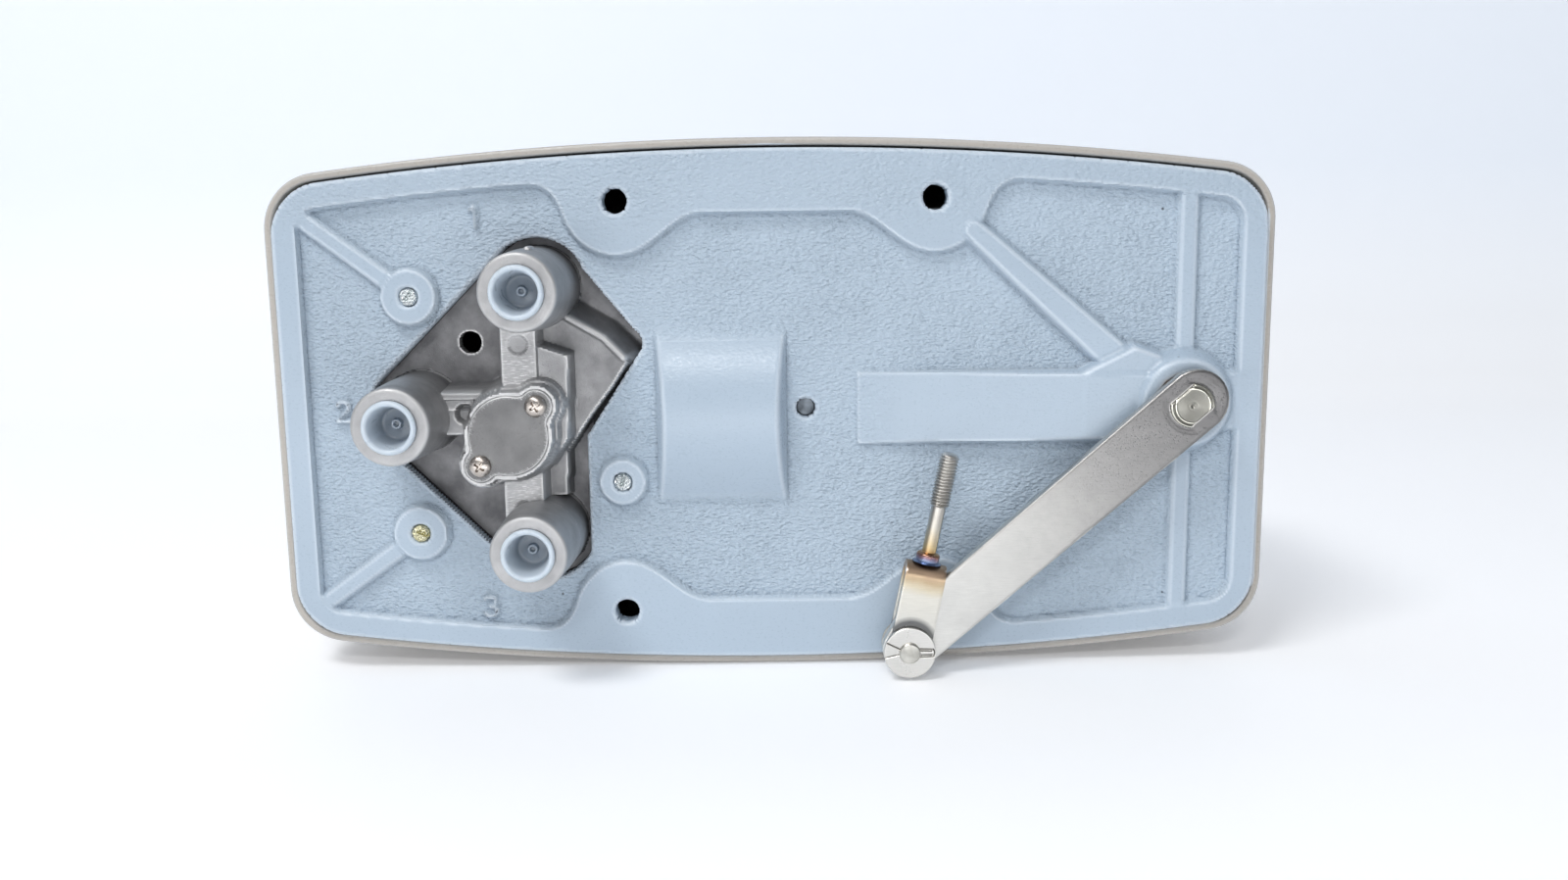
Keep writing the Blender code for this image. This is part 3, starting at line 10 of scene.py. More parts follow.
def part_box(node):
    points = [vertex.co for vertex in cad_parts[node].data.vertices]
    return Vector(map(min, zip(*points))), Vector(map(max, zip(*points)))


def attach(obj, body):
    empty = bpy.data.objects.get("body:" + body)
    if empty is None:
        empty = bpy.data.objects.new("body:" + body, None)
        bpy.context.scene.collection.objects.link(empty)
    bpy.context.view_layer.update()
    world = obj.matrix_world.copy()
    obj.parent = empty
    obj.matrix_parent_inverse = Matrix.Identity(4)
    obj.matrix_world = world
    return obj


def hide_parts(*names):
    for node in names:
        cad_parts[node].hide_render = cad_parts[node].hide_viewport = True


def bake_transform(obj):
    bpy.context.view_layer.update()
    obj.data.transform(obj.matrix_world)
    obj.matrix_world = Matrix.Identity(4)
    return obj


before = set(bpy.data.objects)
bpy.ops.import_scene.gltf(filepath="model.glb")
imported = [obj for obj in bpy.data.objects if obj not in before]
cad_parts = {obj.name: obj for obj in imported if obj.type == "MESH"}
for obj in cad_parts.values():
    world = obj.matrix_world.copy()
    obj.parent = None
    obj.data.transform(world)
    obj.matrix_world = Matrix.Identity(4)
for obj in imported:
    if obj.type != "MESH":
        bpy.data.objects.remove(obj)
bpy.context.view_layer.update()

# The picture: a camera a forearm's length behind the positioner, a little above its middle,
# looking down on it. The lens and place are those of the photograph.


def aim(pitch, roll):
    """Camera axes: level right turned by the roll about the line of sight, up and backward."""
    p, q = math.radians(pitch), math.radians(roll)
    sight = Vector((0, math.cos(p), -math.sin(p)))
    right = Vector((1, 0, 0))
    up = right.cross(sight)
    leaned = (math.cos(q) * right + math.sin(q) * up, math.cos(q) * up - math.sin(q) * right, -sight)
    return Matrix(leaned).transposed()


camera = bpy.data.objects.new("camera", bpy.data.cameras.new("camera"))
bpy.context.collection.objects.link(camera)
camera.data.lens = 30
camera.data.sensor_width = 36
camera.location = (0.001677, -0.36681, 0.05019)
camera.rotation_euler = aim(9.138, -0.762).to_euler()
bpy.context.scene.camera = camera
bpy.context.scene.view_settings.view_transform = "Standard"

# The table and backdrop: one white sheet that runs back and curves up behind the table's edge,
# seen almost burnt out, with the part's soft shadow kept.

TABLE_HEIGHT = -0.0757


def linear(colour):
    """sRGB hex to linear light, with full opacity."""
    channels = [int(colour[i:i + 2], 16) / 255 for i in (0, 2, 4)]
    return [c / 12.92 if c <= 0.04045 else ((c + 0.055) / 1.055) ** 2.4 for c in channels] + [1.0]


def node(material, kind, inputs=(), **settings):
    """Add one shader node: its settings, then its inputs as values or as other nodes' sockets."""
    new = material.node_tree.nodes.new("ShaderNode" + kind)
    for key, value in settings.items():
        setattr(new, key, value)
    for key, value in dict(inputs).items():
        if isinstance(value, bpy.types.NodeSocket):
            material.node_tree.links.new(value, new.inputs[key])
        else:
            new.inputs[key].default_value = value
    return new


def finish_named(name):
    """An empty material with a Principled shader joined to its output."""
    material = bpy.data.materials.new(name)
    material.use_nodes = True
    return material, material.node_tree.nodes["Principled BSDF"]


def wire(material, socket, target):
    material.node_tree.links.new(socket, target)


def shape(name, points, faces, material=None):
    """A smooth mesh from an array of points (n, 3) and an array of faces (m, 4)."""
    mesh = bpy.data.meshes.new(name)
    mesh.from_pydata(np.asarray(points).tolist(), [], np.asarray(faces).tolist())
    mesh.validate()
    mesh.shade_smooth()
    body = bpy.data.objects.new(name, mesh)
    bpy.context.collection.objects.link(body)
    if material:
        mesh.materials.append(material)
    return body


def quads(rows, columns, round_columns=False):
    """Faces of a grid of rows by columns, its last column joined to the first where asked."""
    r = np.arange(rows - 1)[:, None]
    c = np.arange(columns if round_columns else columns - 1)[None, :]
    r2, c2 = r + 1, (c + 1) % columns
    corners = [r * columns + c, r * columns + c2, r2 * columns + c2, r2 * columns + c]
    return np.stack(np.broadcast_arrays(*corners), -1).reshape(-1, 4)


def backdrop():
    """Table and wall as one sheet: u runs across, the run goes back along the table and up the wall."""
    back, turn, high = 1.90, 0.16, 1.6
    u = np.linspace(-1.8, 1.8, 5)[None, :]
    run = np.linspace(0, back + turn * math.pi / 2 + high, 60)[:, None]
    angle = np.clip((run - back) / turn, 0, math.pi / 2)
    y = np.minimum(run, back) + turn * np.sin(angle) - 1.4
    z = turn * (1 - np.cos(angle)) + np.maximum(run - back - turn * math.pi / 2, 0) + TABLE_HEIGHT
    points = np.stack(np.broadcast_arrays(u, y, z), -1).reshape(-1, 3)
    return shape("white_table", points, quads(60, 5))


table = backdrop()
table_paper, paper_shader = finish_named("white_table_paper")
place = node(table_paper, "TexCoord")
height = node(table_paper, "SeparateXYZ", {0: place.outputs["Object"]})
blue = node(table_paper, "MapRange", {0: height.outputs["Z"], 1: -0.07, 2: 0.10})
shade = node(table_paper, "Mix", {0: blue.outputs[0], 6: linear("FBFCFE"), 7: linear("EEF4FC")},
             data_type="RGBA")
wire(table_paper, shade.outputs[2], paper_shader.inputs["Base Color"])
paper_shader.inputs["Roughness"].default_value = 0.55
rays = node(table_paper, "LightPath").outputs
glow = rays["Is Camera Ray"]
for ray in ("Is Glossy Ray", "Is Transmission Ray"):
    glow = node(table_paper, "Math", {0: glow, 1: rays[ray]}, operation="MAXIMUM").outputs[0]
share = node(table_paper, "MapRange", {0: height.outputs["Z"], 1: -0.0755, 2: 0.03, 3: 0.17, 4: 0.21})
glow = node(table_paper, "Math", {0: glow, 1: share.outputs[0]}, operation="MULTIPLY")
wire(table_paper, shade.outputs[2], paper_shader.inputs["Emission Color"])
wire(table_paper, glow.outputs[0], paper_shader.inputs["Emission Strength"])
table.data.materials.append(table_paper)

world = bpy.data.worlds.new("studio")
bpy.context.scene.world = world
world.use_nodes = True
sky = world.node_tree.nodes["Background"]
sky.inputs["Color"].default_value = linear("F4F8FF")
to_camera = node(world, "LightPath").outputs["Is Camera Ray"]
wire(world, node(world, "MapRange", {0: to_camera, 3: 0.27, 4: 0.92}).outputs[0], sky.inputs["Strength"])


def softbox(name, place, target, width, height, power):
    """A rectangular lamp turned towards a point."""
    lamp = bpy.data.lights.new(name, "AREA")
    lamp.shape = "RECTANGLE"
    lamp.size, lamp.size_y = width, height
    lamp.energy = power
    stand = bpy.data.objects.new(name, lamp)
    bpy.context.collection.objects.link(stand)
    stand.location = place
    stand.rotation_euler = (Vector(target) - Vector(place)).to_track_quat("-Z", "Y").to_euler()


softbox("top_softbox", (-0.75, -0.90, 1.75), (0, 0, 0), 0.7, 0.5, 19.5)
softbox("upper_front_softbox", (-0.20, -1.75, 1.25), (0, 0, 0), 0.55, 0.28, 10.0)
softbox("left_softbox", (-0.95, -0.80, 0.12), (0, 0, -0.03), 0.5, 0.5, 0.5)
softbox("low_front_softbox", (0.00, -0.30, -0.045), (0, 0, -0.03), 0.55, 0.05, 0.27)

# Back case: a sand-cast aluminium tray, painted light blue grey. Its back has a raised flat
# border that meets the valve's bracket, and ribs, screw bosses, a bulge for the mechanism and
# a bar and hub for the feedback shaft, all with the soft edges and fillets of a casting.

CASE_X, CASE_WIDTH, CASE_HEIGHT, CASE_DEPTH = -0.0015, 0.277, 0.1452, 0.028
CASE_BOW, CASE_CORNER = 1.0, 0.013
FIELD = 0.0025
FLOOR_BACK = 0.0065
HOLE = (0.04445, 0.05865)
HOLE_RADIUS = 0.0035
TOWERS = np.array([(-0.0673, 0.0350), (-0.1024, 0.0), (-0.0673, -0.0350)])
CHAMBER = (-0.0738, -0.0046)
MANIFOLD_SCREWS = ((-0.1028, 0.0330), (-0.1030, -0.0346), (-0.0445, -0.0204))
PEEP_HOLE = (0.0080, 0.0)
SHAFT = (0.1140, 0.0010)


def to_outline(x, z, outline):
    """Signed distance to a closed outline: the least distance to its edges, negative inside."""
    nearest = np.full(x.shape, 1e9)
    inside = np.zeros(x.shape, bool)
    for (ax, az), (bx, bz) in zip(outline, np.roll(outline, -1, axis=0)):
        ex, ez = bx - ax, bz - az
        t = np.clip(((x - ax) * ex + (z - az) * ez) / (ex * ex + ez * ez), 0, 1)
        nearest = np.minimum(nearest, np.hypot(x - ax - t * ex, z - az - t * ez))
        if ez:
            inside ^= ((az > z) != (bz > z)) & (x < ex * (z - az) / ez + ax)
    return np.where(inside, -nearest, nearest)


def to_rod(x, z, a, b, ra, rb):
    """Signed distance to a bar with round ends, its half width running from ra to rb."""
    ex, ez = b[0] - a[0], b[1] - a[1]
    t = np.clip(((x - a[0]) * ex + (z - a[1]) * ez) / (ex * ex + ez * ez), 0, 1)
    return np.hypot(x - a[0] - t * ex, z - a[1] - t * ez) - (ra + (rb - ra) * t)


def to_case(x, z, inset):
    """Signed distance to the bowed case outline: straight sides, bowed top and bottom, round corners."""
    r = max(CASE_CORNER - inset, 0.001)
    a = np.abs(x - CASE_X) - (CASE_WIDTH / 2 - inset - r)
    b = np.hypot(x - CASE_X, np.abs(z) + CASE_BOW - CASE_HEIGHT / 2) - (CASE_BOW - inset - r)
    return np.minimum(np.maximum(a, b), 0) + np.hypot(np.maximum(a, 0), np.maximum(b, 0)) - r


def lower(a, b, k):
    """The lower of two heights, blended over k so that an edge comes out rounded."""
    h = np.clip(0.5 + 0.5 * (b - a) / k, 0, 1)
    return b + (a - b) * h - k * h * (1 - h)


def higher(a, b, k):
    """The higher of two heights, blended over k so that a corner comes out filleted."""
    return -lower(-a, -b, k)


def filleted(a, b, r):
    """Distance to two joined shapes, with a fillet of radius r where they meet."""
    return np.maximum(r, np.minimum(a, b)) - np.hypot(np.maximum(r - a, 0), np.maximum(r - b, 0))


def cast(distance, top, slope, edge, base=-FIELD):
    """Height of a cast feature: its walls climb at slope inside its outline to top, with round edges."""
    return lower(top + 0 * distance, base - distance * slope, edge)


def window(x, z):
    """Distance to the opening round the towers, negative inside it."""
    three = np.maximum(to_outline(x, z, TOWERS) - 0.0140, x + 0.0546)
    side = to_rod(x, z, TOWERS[0], (-0.0423, 0.0190), 0.0140, 0.0042)
    foot = to_rod(x, z, (-0.0640, -0.0020), (-0.0423, 0.0190), 0.0110, 0.0042)
    wedge = to_outline(x, z, np.array([TOWERS[0], (-0.0425, 0.0190), (-0.0700, -0.0080)])) - 0.0040
    return np.minimum(np.minimum(three, side), np.minimum(foot, wedge))


NUMERALS = (((-1.0, 1.9), (0.5, 2.9), (0.5, -2.9)),
            ((-1.7, 1.6), (-0.8, 2.8), (0.9, 2.8), (1.7, 1.6), (1.3, 0.3), (-1.8, -2.8), (1.9, -2.8)),
            ((-1.7, 2.2), (-0.6, 2.9), (1.0, 2.7), (1.6, 1.5), (0.9, 0.3), (-0.2, 0.1), (1.0, -0.1), (1.8, -1.4),
             (1.0, -2.6), (-0.6, -2.9), (-1.8, -2.1)))


def case_height(x, z):
    """Height of the case's back over the mounting face: border, ribs and bosses joined by fillets."""
    border = -to_case(x, z, 0.0070)
    lobe = np.hypot(np.abs(x) - HOLE[0], np.abs(z) - HOLE[1]) - 0.0150
    middle = np.maximum(np.abs(x) - HOLE[0], 0.0552 - np.abs(z))
    land = filleted(filleted(border, lobe, 0.0100), middle, 0.0100)
    parts = [cast(land - 0.0004, 0.0, 4.2, 0.0004)]
    for (bx, bz), size in zip(MANIFOLD_SCREWS, (0.0084, 0.0084, 0.0072)):
        parts.append(cast(np.hypot(x - bx, z - bz) - size, 0.0004, 4.0, 0.0005))
    for (bx, bz), end in zip(MANIFOLD_SCREWS[:2], (0.0570, -0.0570)):
        parts.append(cast(to_rod(x, z, (-0.1345, end), (bx, bz), 0.0030, 0.0032), -0.0002, 2.4, 0.0007))
    parts.append(cast(to_rod(x, z, (0.1150, -0.0640), (0.1150, 0.0640), 0.0032, 0.0032), -0.0002, 2.4, 0.0007))
    parts.append(cast(to_rod(x, z, (0.0550, 0.0495), (0.0970, 0.0120), 0.0038, 0.0053), 0.0010, 2.8, 0.0012))
    web = np.maximum(np.maximum(0.1140 - x, x - 0.1400), np.abs(z - 0.0008) - 0.0092)
    parts.append(cast(web, -0.0001, 1.6, 0.0008))
    round_top = math.hypot(0.0253, 0.0389)
    arch = 0.0050 - round_top + np.sqrt(np.maximum(round_top ** 2 - (z + 0.0022) ** 2, 1e-8))
    side = np.abs(x + 0.0160) - 0.0187
    parts.append(lower(arch, -FIELD - side * 3.2, 0.0026))
    ramp = 0.0013 + (x - 0.0226) / 0.0914 * 0.0066 - 0.0026
    bar = np.maximum(np.maximum(0.0222 - x, x - 0.1160), np.abs(z) - 0.0106)
    parts.append(cast(bar, ramp, 4.5, 0.0006))
    gusset = np.array([(0.0850, -0.0095), (0.1040, -0.0095), (0.1120, 0.0130), (0.1000, 0.0175), (0.0850, 0.0100)])
    parts.append(cast(to_outline(x, z, gusset) - 0.0008, 0.0034, 3.4, 0.0009))
    round_hub = np.hypot(x - SHAFT[0], z - SHAFT[1])
    parts.append(cast(round_hub - 0.0156, 0.0018, 2.6, 0.0010))
    bevel = cast(round_hub - 0.0169, 0.0060, 1.7, 0.0004)
    parts.append(lower(bevel, cast(round_hub - 0.0148, 0.0060, 6.0, 0.0004), 0.0004))
    height = np.full(x.shape, -FIELD)
    for part in parts:
        height = higher(height, part, 0.0005)
    for strokes, (cx, cz) in zip(NUMERALS, ((-0.0840, 0.0550), (-0.1236, 0.0007), (-0.0843, -0.0571))):
        for a, b in zip(strokes[:-1], strokes[1:]):
            stroke = to_rod(x - cx, z - cz, (a[0] / 1000, a[1] / 1000), (b[0] / 1000, b[1] / 1000), 0.0008, 0.0008)
            height = higher(height, cast(stroke, -0.0008, 3.0, 0.0002), 0.0002)
    return height


def case_voids(x, z):
    """Distance to the nearest edge of the casting or of one of its holes, negative off the metal."""
    metal = -to_case(x, z, 0.0)
    metal = np.minimum(metal, window(x, z))
    metal = np.minimum(metal, np.hypot(np.abs(x) - HOLE[0], np.abs(z) - HOLE[1]) - HOLE_RADIUS)
    for bx, bz in MANIFOLD_SCREWS + (PEEP_HOLE,):
        metal = np.minimum(metal, np.hypot(x - bx, z - bz) - 0.0027)
    return np.minimum(metal, np.hypot(x - SHAFT[0], z - SHAFT[1]) - 0.0080)


def relief(step, x_range, z_range, voids, height, wall):
    """A cast face as a grid over x and z at the height given, with its holes cut clean.

    Grid points near an edge are drawn onto it along the slope of the distance, faces off the
    metal go, and every edge gets a wall down to wall(x, z). Returns points and faces.
    """
    x = np.arange(x_range[0], x_range[1] + step, step)[:, None]
    z = np.arange(z_range[0], z_range[1] + step, step)[None, :]
    x, z = [a.copy() for a in np.broadcast_arrays(x, z)]
    for near in (0.72, 0.35, 0.2):
        gap = voids(x, z)
        tiny = step * 0.05
        gx = (voids(x + tiny, z) - gap) / tiny
        gz = (voids(x, z + tiny) - gap) / tiny
        size = np.maximum(gx ** 2 + gz ** 2, 0.25)
        close = (gap < 0.30 * step) & (gap > -near * step)
        x = np.where(close, x - gap * gx / size, x)
        z = np.where(close, z - gap * gz / size, z)
    rows, columns = x.shape
    faces = quads(rows, columns)[:, ::-1]
    gap = voids(x, z).ravel()
    faces = faces[(gap[faces] > -0.06 * step).all(axis=1)]
    points = np.stack([x.ravel(), -height(x, z).ravel(), z.ravel()], -1)
    kept, faces = np.unique(faces, return_inverse=True)
    points, faces = points[kept], faces.reshape(-1, 4)
    edges = np.concatenate([faces[:, [i, (i + 1) % 4]] for i in range(4)])
    names = np.sort(edges, axis=1)
    first, count = np.unique(names, axis=0, return_index=True, return_counts=True)[1:]
    rim = edges[first[count == 1]]
    ends = np.unique(rim)
    below = np.full(len(points), -1)
    below[ends] = len(points) + np.arange(len(ends))
    deep = points[ends].copy()
    deep[:, 1] = wall(deep[:, 0], deep[:, 2])
    sides = np.stack([rim[:, 1], rim[:, 0], below[rim[:, 0]], below[rim[:, 1]]], -1)
    return np.concatenate([points, deep]), np.concatenate([faces, sides])


def case_wall(x, z):
    """The outer edge goes down to the tray's rim, a hole's edge to the inside of the floor."""
    return np.where(to_case(x, z, 0.0) > -0.0005, CASE_DEPTH, FLOOR_BACK)


def rounded_edges(x, z):
    """The case's height, rolled off by a radius of 0.6 mm at its outer edge and at its holes."""
    radius = 0.0006
    drop = np.maximum(radius - np.minimum(case_voids(x, z), radius), 0)
    return case_height(x, z) - (radius - np.sqrt(np.maximum(radius ** 2 - drop ** 2, 0)))


def painted_casting(name, colour, grain, bump):
    """Sprayed enamel over a sand casting, then years of handling.

    The paint is 0.1 mm thick and levels poorly: a pebbled skin of 0.6 mm, drawn out sideways, strong
    in the recesses and along the top edge and faint on the machined lands. The recesses are painted a
    little lighter as painted light, for the light the pebbling loses. Edges are painted pale, partly as
    paint thinned by handling and partly as a painted highlight; concave corners are painted darker as
    painted shade. It has small dark chips.
    """
    material, shader = finish_named(name)
    where = node(material, "TexCoord").outputs["Object"]
    place = node(material, "SeparateXYZ", {0: where}).outputs
    recess = node(material, "MapRange", {0: place["Y"], 1: 0.0004, 2: 0.0020}, clamp=True).outputs[0]
    level_out = node(material, "Mapping", {"Vector": where, "Scale": (0.6, 1.0, 1.0)}).outputs[0]
    pebble = node(material, "TexNoise", {"Vector": level_out, "Scale": grain, "Detail": 3.0, "Roughness": 0.55})
    coarse = node(material, "TexNoise", {"Vector": where, "Scale": grain * 0.33, "Detail": 2.0})
    cells = node(material, "TexVoronoi", {"Vector": level_out, "Scale": grain * 0.8}, feature="SMOOTH_F1")
    cloud = node(material, "TexNoise", {"Vector": where, "Scale": 22.0, "Detail": 4.0})
    patch = node(material, "MapRange", {0: cloud.outputs[0], 1: 0.40, 2: 0.60, 3: 0.6}, clamp=True).outputs[0]
    top_edge = node(material, "MapRange", {0: place["Z"], 1: 0.042, 2: 0.060, 3: 0.0, 4: 0.55}, clamp=True)
    rough = node(material, "Math", {0: recess, 1: top_edge.outputs[0]}, operation="MAXIMUM").outputs[0]
    rough = node(material, "Math", {0: rough, 1: patch}, operation="MULTIPLY").outputs[0]
    strength = node(material, "MapRange", {0: rough, 1: 0.0, 2: 1.0, 3: 0.05, 4: 1.0}).outputs[0]
    mixed = node(material, "Mix", {0: 0.5, 2: pebble.outputs[0], 3: cells.outputs["Distance"]}).outputs[0]
    mixed = node(material, "Math", {0: coarse.outputs[0], 1: 0.35, 2: mixed}, operation="MULTIPLY_ADD").outputs[0]
    mixed = node(material, "Math", {0: mixed, 1: strength}, operation="MULTIPLY").outputs[0]
    lumps = node(material, "Bump", {"Height": mixed, "Strength": bump, "Distance": 0.0016})
    wire(material, lumps.outputs[0], shader.inputs["Normal"])
    tone = node(material, "TexNoise", {"Vector": where, "Scale": 9.0, "Detail": 5.0, "Roughness": 0.6})
    tone = node(material, "MapRange", {0: tone.outputs[0], 1: 0.3, 2: 0.7, 3: 0.955, 4: 1.03}).outputs[0]
    # Painted light: recesses painted up to 4% lighter and lands 2.5% darker, to make up for light the pebbled bump
    # loses.
    thick = node(material, "MapRange", {0: recess, 1: 0.0, 2: 1.0, 3: 0.975, 4: 1.04}).outputs[0]
    tone = node(material, "Math", {0: tone, 1: thick}, operation="MULTIPLY").outputs[0]
    paint = node(material, "HueSaturation", {"Value": tone, "Color": linear(colour)})
    specks = node(material, "TexVoronoi", {"Vector": where, "Scale": 120.0, "Randomness": 1.0})
    speck = node(material, "MapRange", {0: specks.outputs["Distance"], 1: 0.035, 2: 0.06, 3: 1.0, 4: 0.0},
                 clamp=True).outputs[0]
    rare = node(material, "TexNoise", {"Vector": where, "Scale": 31.0, "Detail": 1.0})
    rare = node(material, "MapRange", {0: rare.outputs[0], 1: 0.62, 2: 0.68}, clamp=True).outputs[0]
    chip = node(material, "Math", {0: speck, 1: rare}, operation="MULTIPLY").outputs[0]
    chipped = node(material, "Mix", {0: chip, 6: paint.outputs[0], 7: linear("5A6066")}, data_type="RGBA")
    # Painted light from the mesh's pointiness: convex edges painted pale, partly thin paint and partly a painted
    # highlight; concave corners painted darker as painted shade.
    bend = node(material, "NewGeometry").outputs["Pointiness"]
    edge_highlight = node(material, "MapRange", {0: bend, 1: 0.512, 2: 0.56, 3: 0.0, 4: 0.6}, clamp=True).outputs[0]
    crease_shade = node(material, "MapRange", {0: bend, 1: 0.485, 2: 0.43, 3: 0.0, 4: 0.4}, clamp=True).outputs[0]
    tone = node(material, "Mix", {0: edge_highlight, 6: chipped.outputs[2], 7: linear("E4EDF6")}, data_type="RGBA").outputs[2]
    tone = node(material, "Mix", {0: crease_shade, 6: tone, 7: linear("7A8A9C")}, data_type="RGBA").outputs[2]
    wire(material, tone, shader.inputs["Base Color"])
    gloss = node(material, "MapRange", {0: pebble.outputs[0], 1: 0.3, 2: 0.7, 3: 0.24, 4: 0.38}).outputs[0]
    wire(material, gloss, shader.inputs["Roughness"])
    shader.inputs["IOR"].default_value = 1.5
    return material


blue_grey_paint = painted_casting("blue_grey_casting_paint", "B0C0CF", 1650.0, 1.0)
points, faces = relief(0.00067, (-0.1406, 0.1380), (-0.0732, 0.0732), case_voids, rounded_edges, case_wall)
case = shape("case_casting", points, faces, blue_grey_paint)
case.data.set_sharp_from_angle(angle=math.radians(60))
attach(case, "housing")
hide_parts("case")

# Cover: a deep die-cast shell round the case, painted warm grey. Only its rounded rim shows
# from behind; the front is a plain panel with softly rounded edges and two screws.

CLEAR, RIM_OUT = -0.0008, -0.0031


def case_outline(inset):
    """The bowed outline drawn in by inset: arcs of one corner and half a bow, mirrored four ways."""
    bow, corner = CASE_BOW - inset, max(CASE_CORNER - inset, 0.0015)
    bow_z = CASE_HEIGHT / 2 - inset - bow
    corner_x = CASE_WIDTH / 2 - inset - corner
    corner_z = bow_z + math.sqrt((bow - corner) ** 2 - corner_x ** 2)
    lean = math.atan2(corner_z - bow_z, corner_x)
    a, b = np.linspace(0, lean, 14), np.linspace(lean, math.pi / 2, 30)[1:]
    quarter = np.concatenate([np.stack([corner_x + corner * np.cos(a), corner_z + corner * np.sin(a)], -1),
                              np.stack([bow * np.cos(b), bow_z + bow * np.sin(b)], -1)])
    half = np.concatenate([quarter, (quarter * [-1, 1])[-2::-1]])
    return np.concatenate([half, -half]) + [CASE_X, 0]


def softened(corners, radii, steps=5):
    """A path through corners, each one rounded by a parabola that starts a radius away from it."""
    corners = np.asarray(corners, float)
    path = [corners[:1]]
    for i, radius in enumerate(np.broadcast_to(radii, len(corners) - 2), 1):
        before, corner, after = corners[i - 1:i + 2]
        start = corner + (before - corner) * min(radius / np.linalg.norm(before - corner), 0.49)
        end = corner + (after - corner) * min(radius / np.linalg.norm(after - corner), 0.49)
        t = np.linspace(0, 1, steps)[:, None]
        path.append((1 - t) ** 2 * start + 2 * t * (1 - t) * corner + t ** 2 * end)
    return np.concatenate(path + [corners[-1:]])


def welded(body, sharp=40):
    """Close seams and poles, turn the faces outward and keep edges over this many degrees crisp."""
    work = bmesh.new()
    work.from_mesh(body.data)
    bmesh.ops.remove_doubles(work, verts=work.verts, dist=2e-7)
    bmesh.ops.recalc_face_normals(work, faces=work.faces)
    work.to_mesh(body.data)
    work.free()
    body.data.set_sharp_from_angle(angle=math.radians(sharp))
    return body


profile = softened([(0.0120, 0.0955), (0.0012, 0.0955), (CLEAR, 0.0330), (CLEAR, 0.0030), (RIM_OUT, 0.0030),
                    (RIM_OUT, 0.0316), (-0.0010, 0.0980), (0.0120, 0.0980)],
                   [0.0090, 0.004, 0.0008, 0.0014, 0.0060, 0.0115], 8)
rings = [np.insert(case_outline(inset), 1, depth, axis=1) for inset, depth in profile]
middle = np.array([CASE_X, 0, 0])
inward = [rings[0] * [k, 1, k] + middle * (1 - k) for k in (0.0, 0.35, 0.7)]
outward = [rings[-1] * [k, 1, k] + middle * (1 - k) for k in (0.7, 0.35, 0.0)]
rings = np.stack(inward + rings + outward)
warm_grey_paint = painted_casting("warm_grey_cover_paint", "B4AEA6", 1500.0, 0.20)
cover = shape("cover_shell", rings.reshape(-1, 3), quads(len(rings), rings.shape[1], round_columns=True),
              warm_grey_paint)
welded(cover)
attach(cover, "housing")
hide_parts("cover")

# Port manifold: an unpainted aluminium casting in the case's window. Arms lead the air from
# three port towers to the filter chamber; it is pulled from its mould with a little draft.

FLANGE = 0.0081
CAP_FACE = 0.0135
CAP_SCREWS = ((-0.06588, 0.00360), (-0.08172, -0.01280))
VENT = (-0.0879, 0.0195)


def cap_outline(x, z, disc, ear):
    """Distance to the filter cap's shape: a disc and two ears, joined by small fillets."""
    ears = to_rod(x, z, CAP_SCREWS[0], CAP_SCREWS[1], ear, ear)
    return filleted(np.hypot(x - CHAMBER[0], z - CHAMBER[1]) - disc, ears, 0.0015)


def raised(distance, top, slope, edge):
    """Height of a rib whose flat top ends at the given outline; its drafted walls spread below."""
    return cast(distance - (top + FLANGE) / slope, top, slope, edge, -FLANGE)


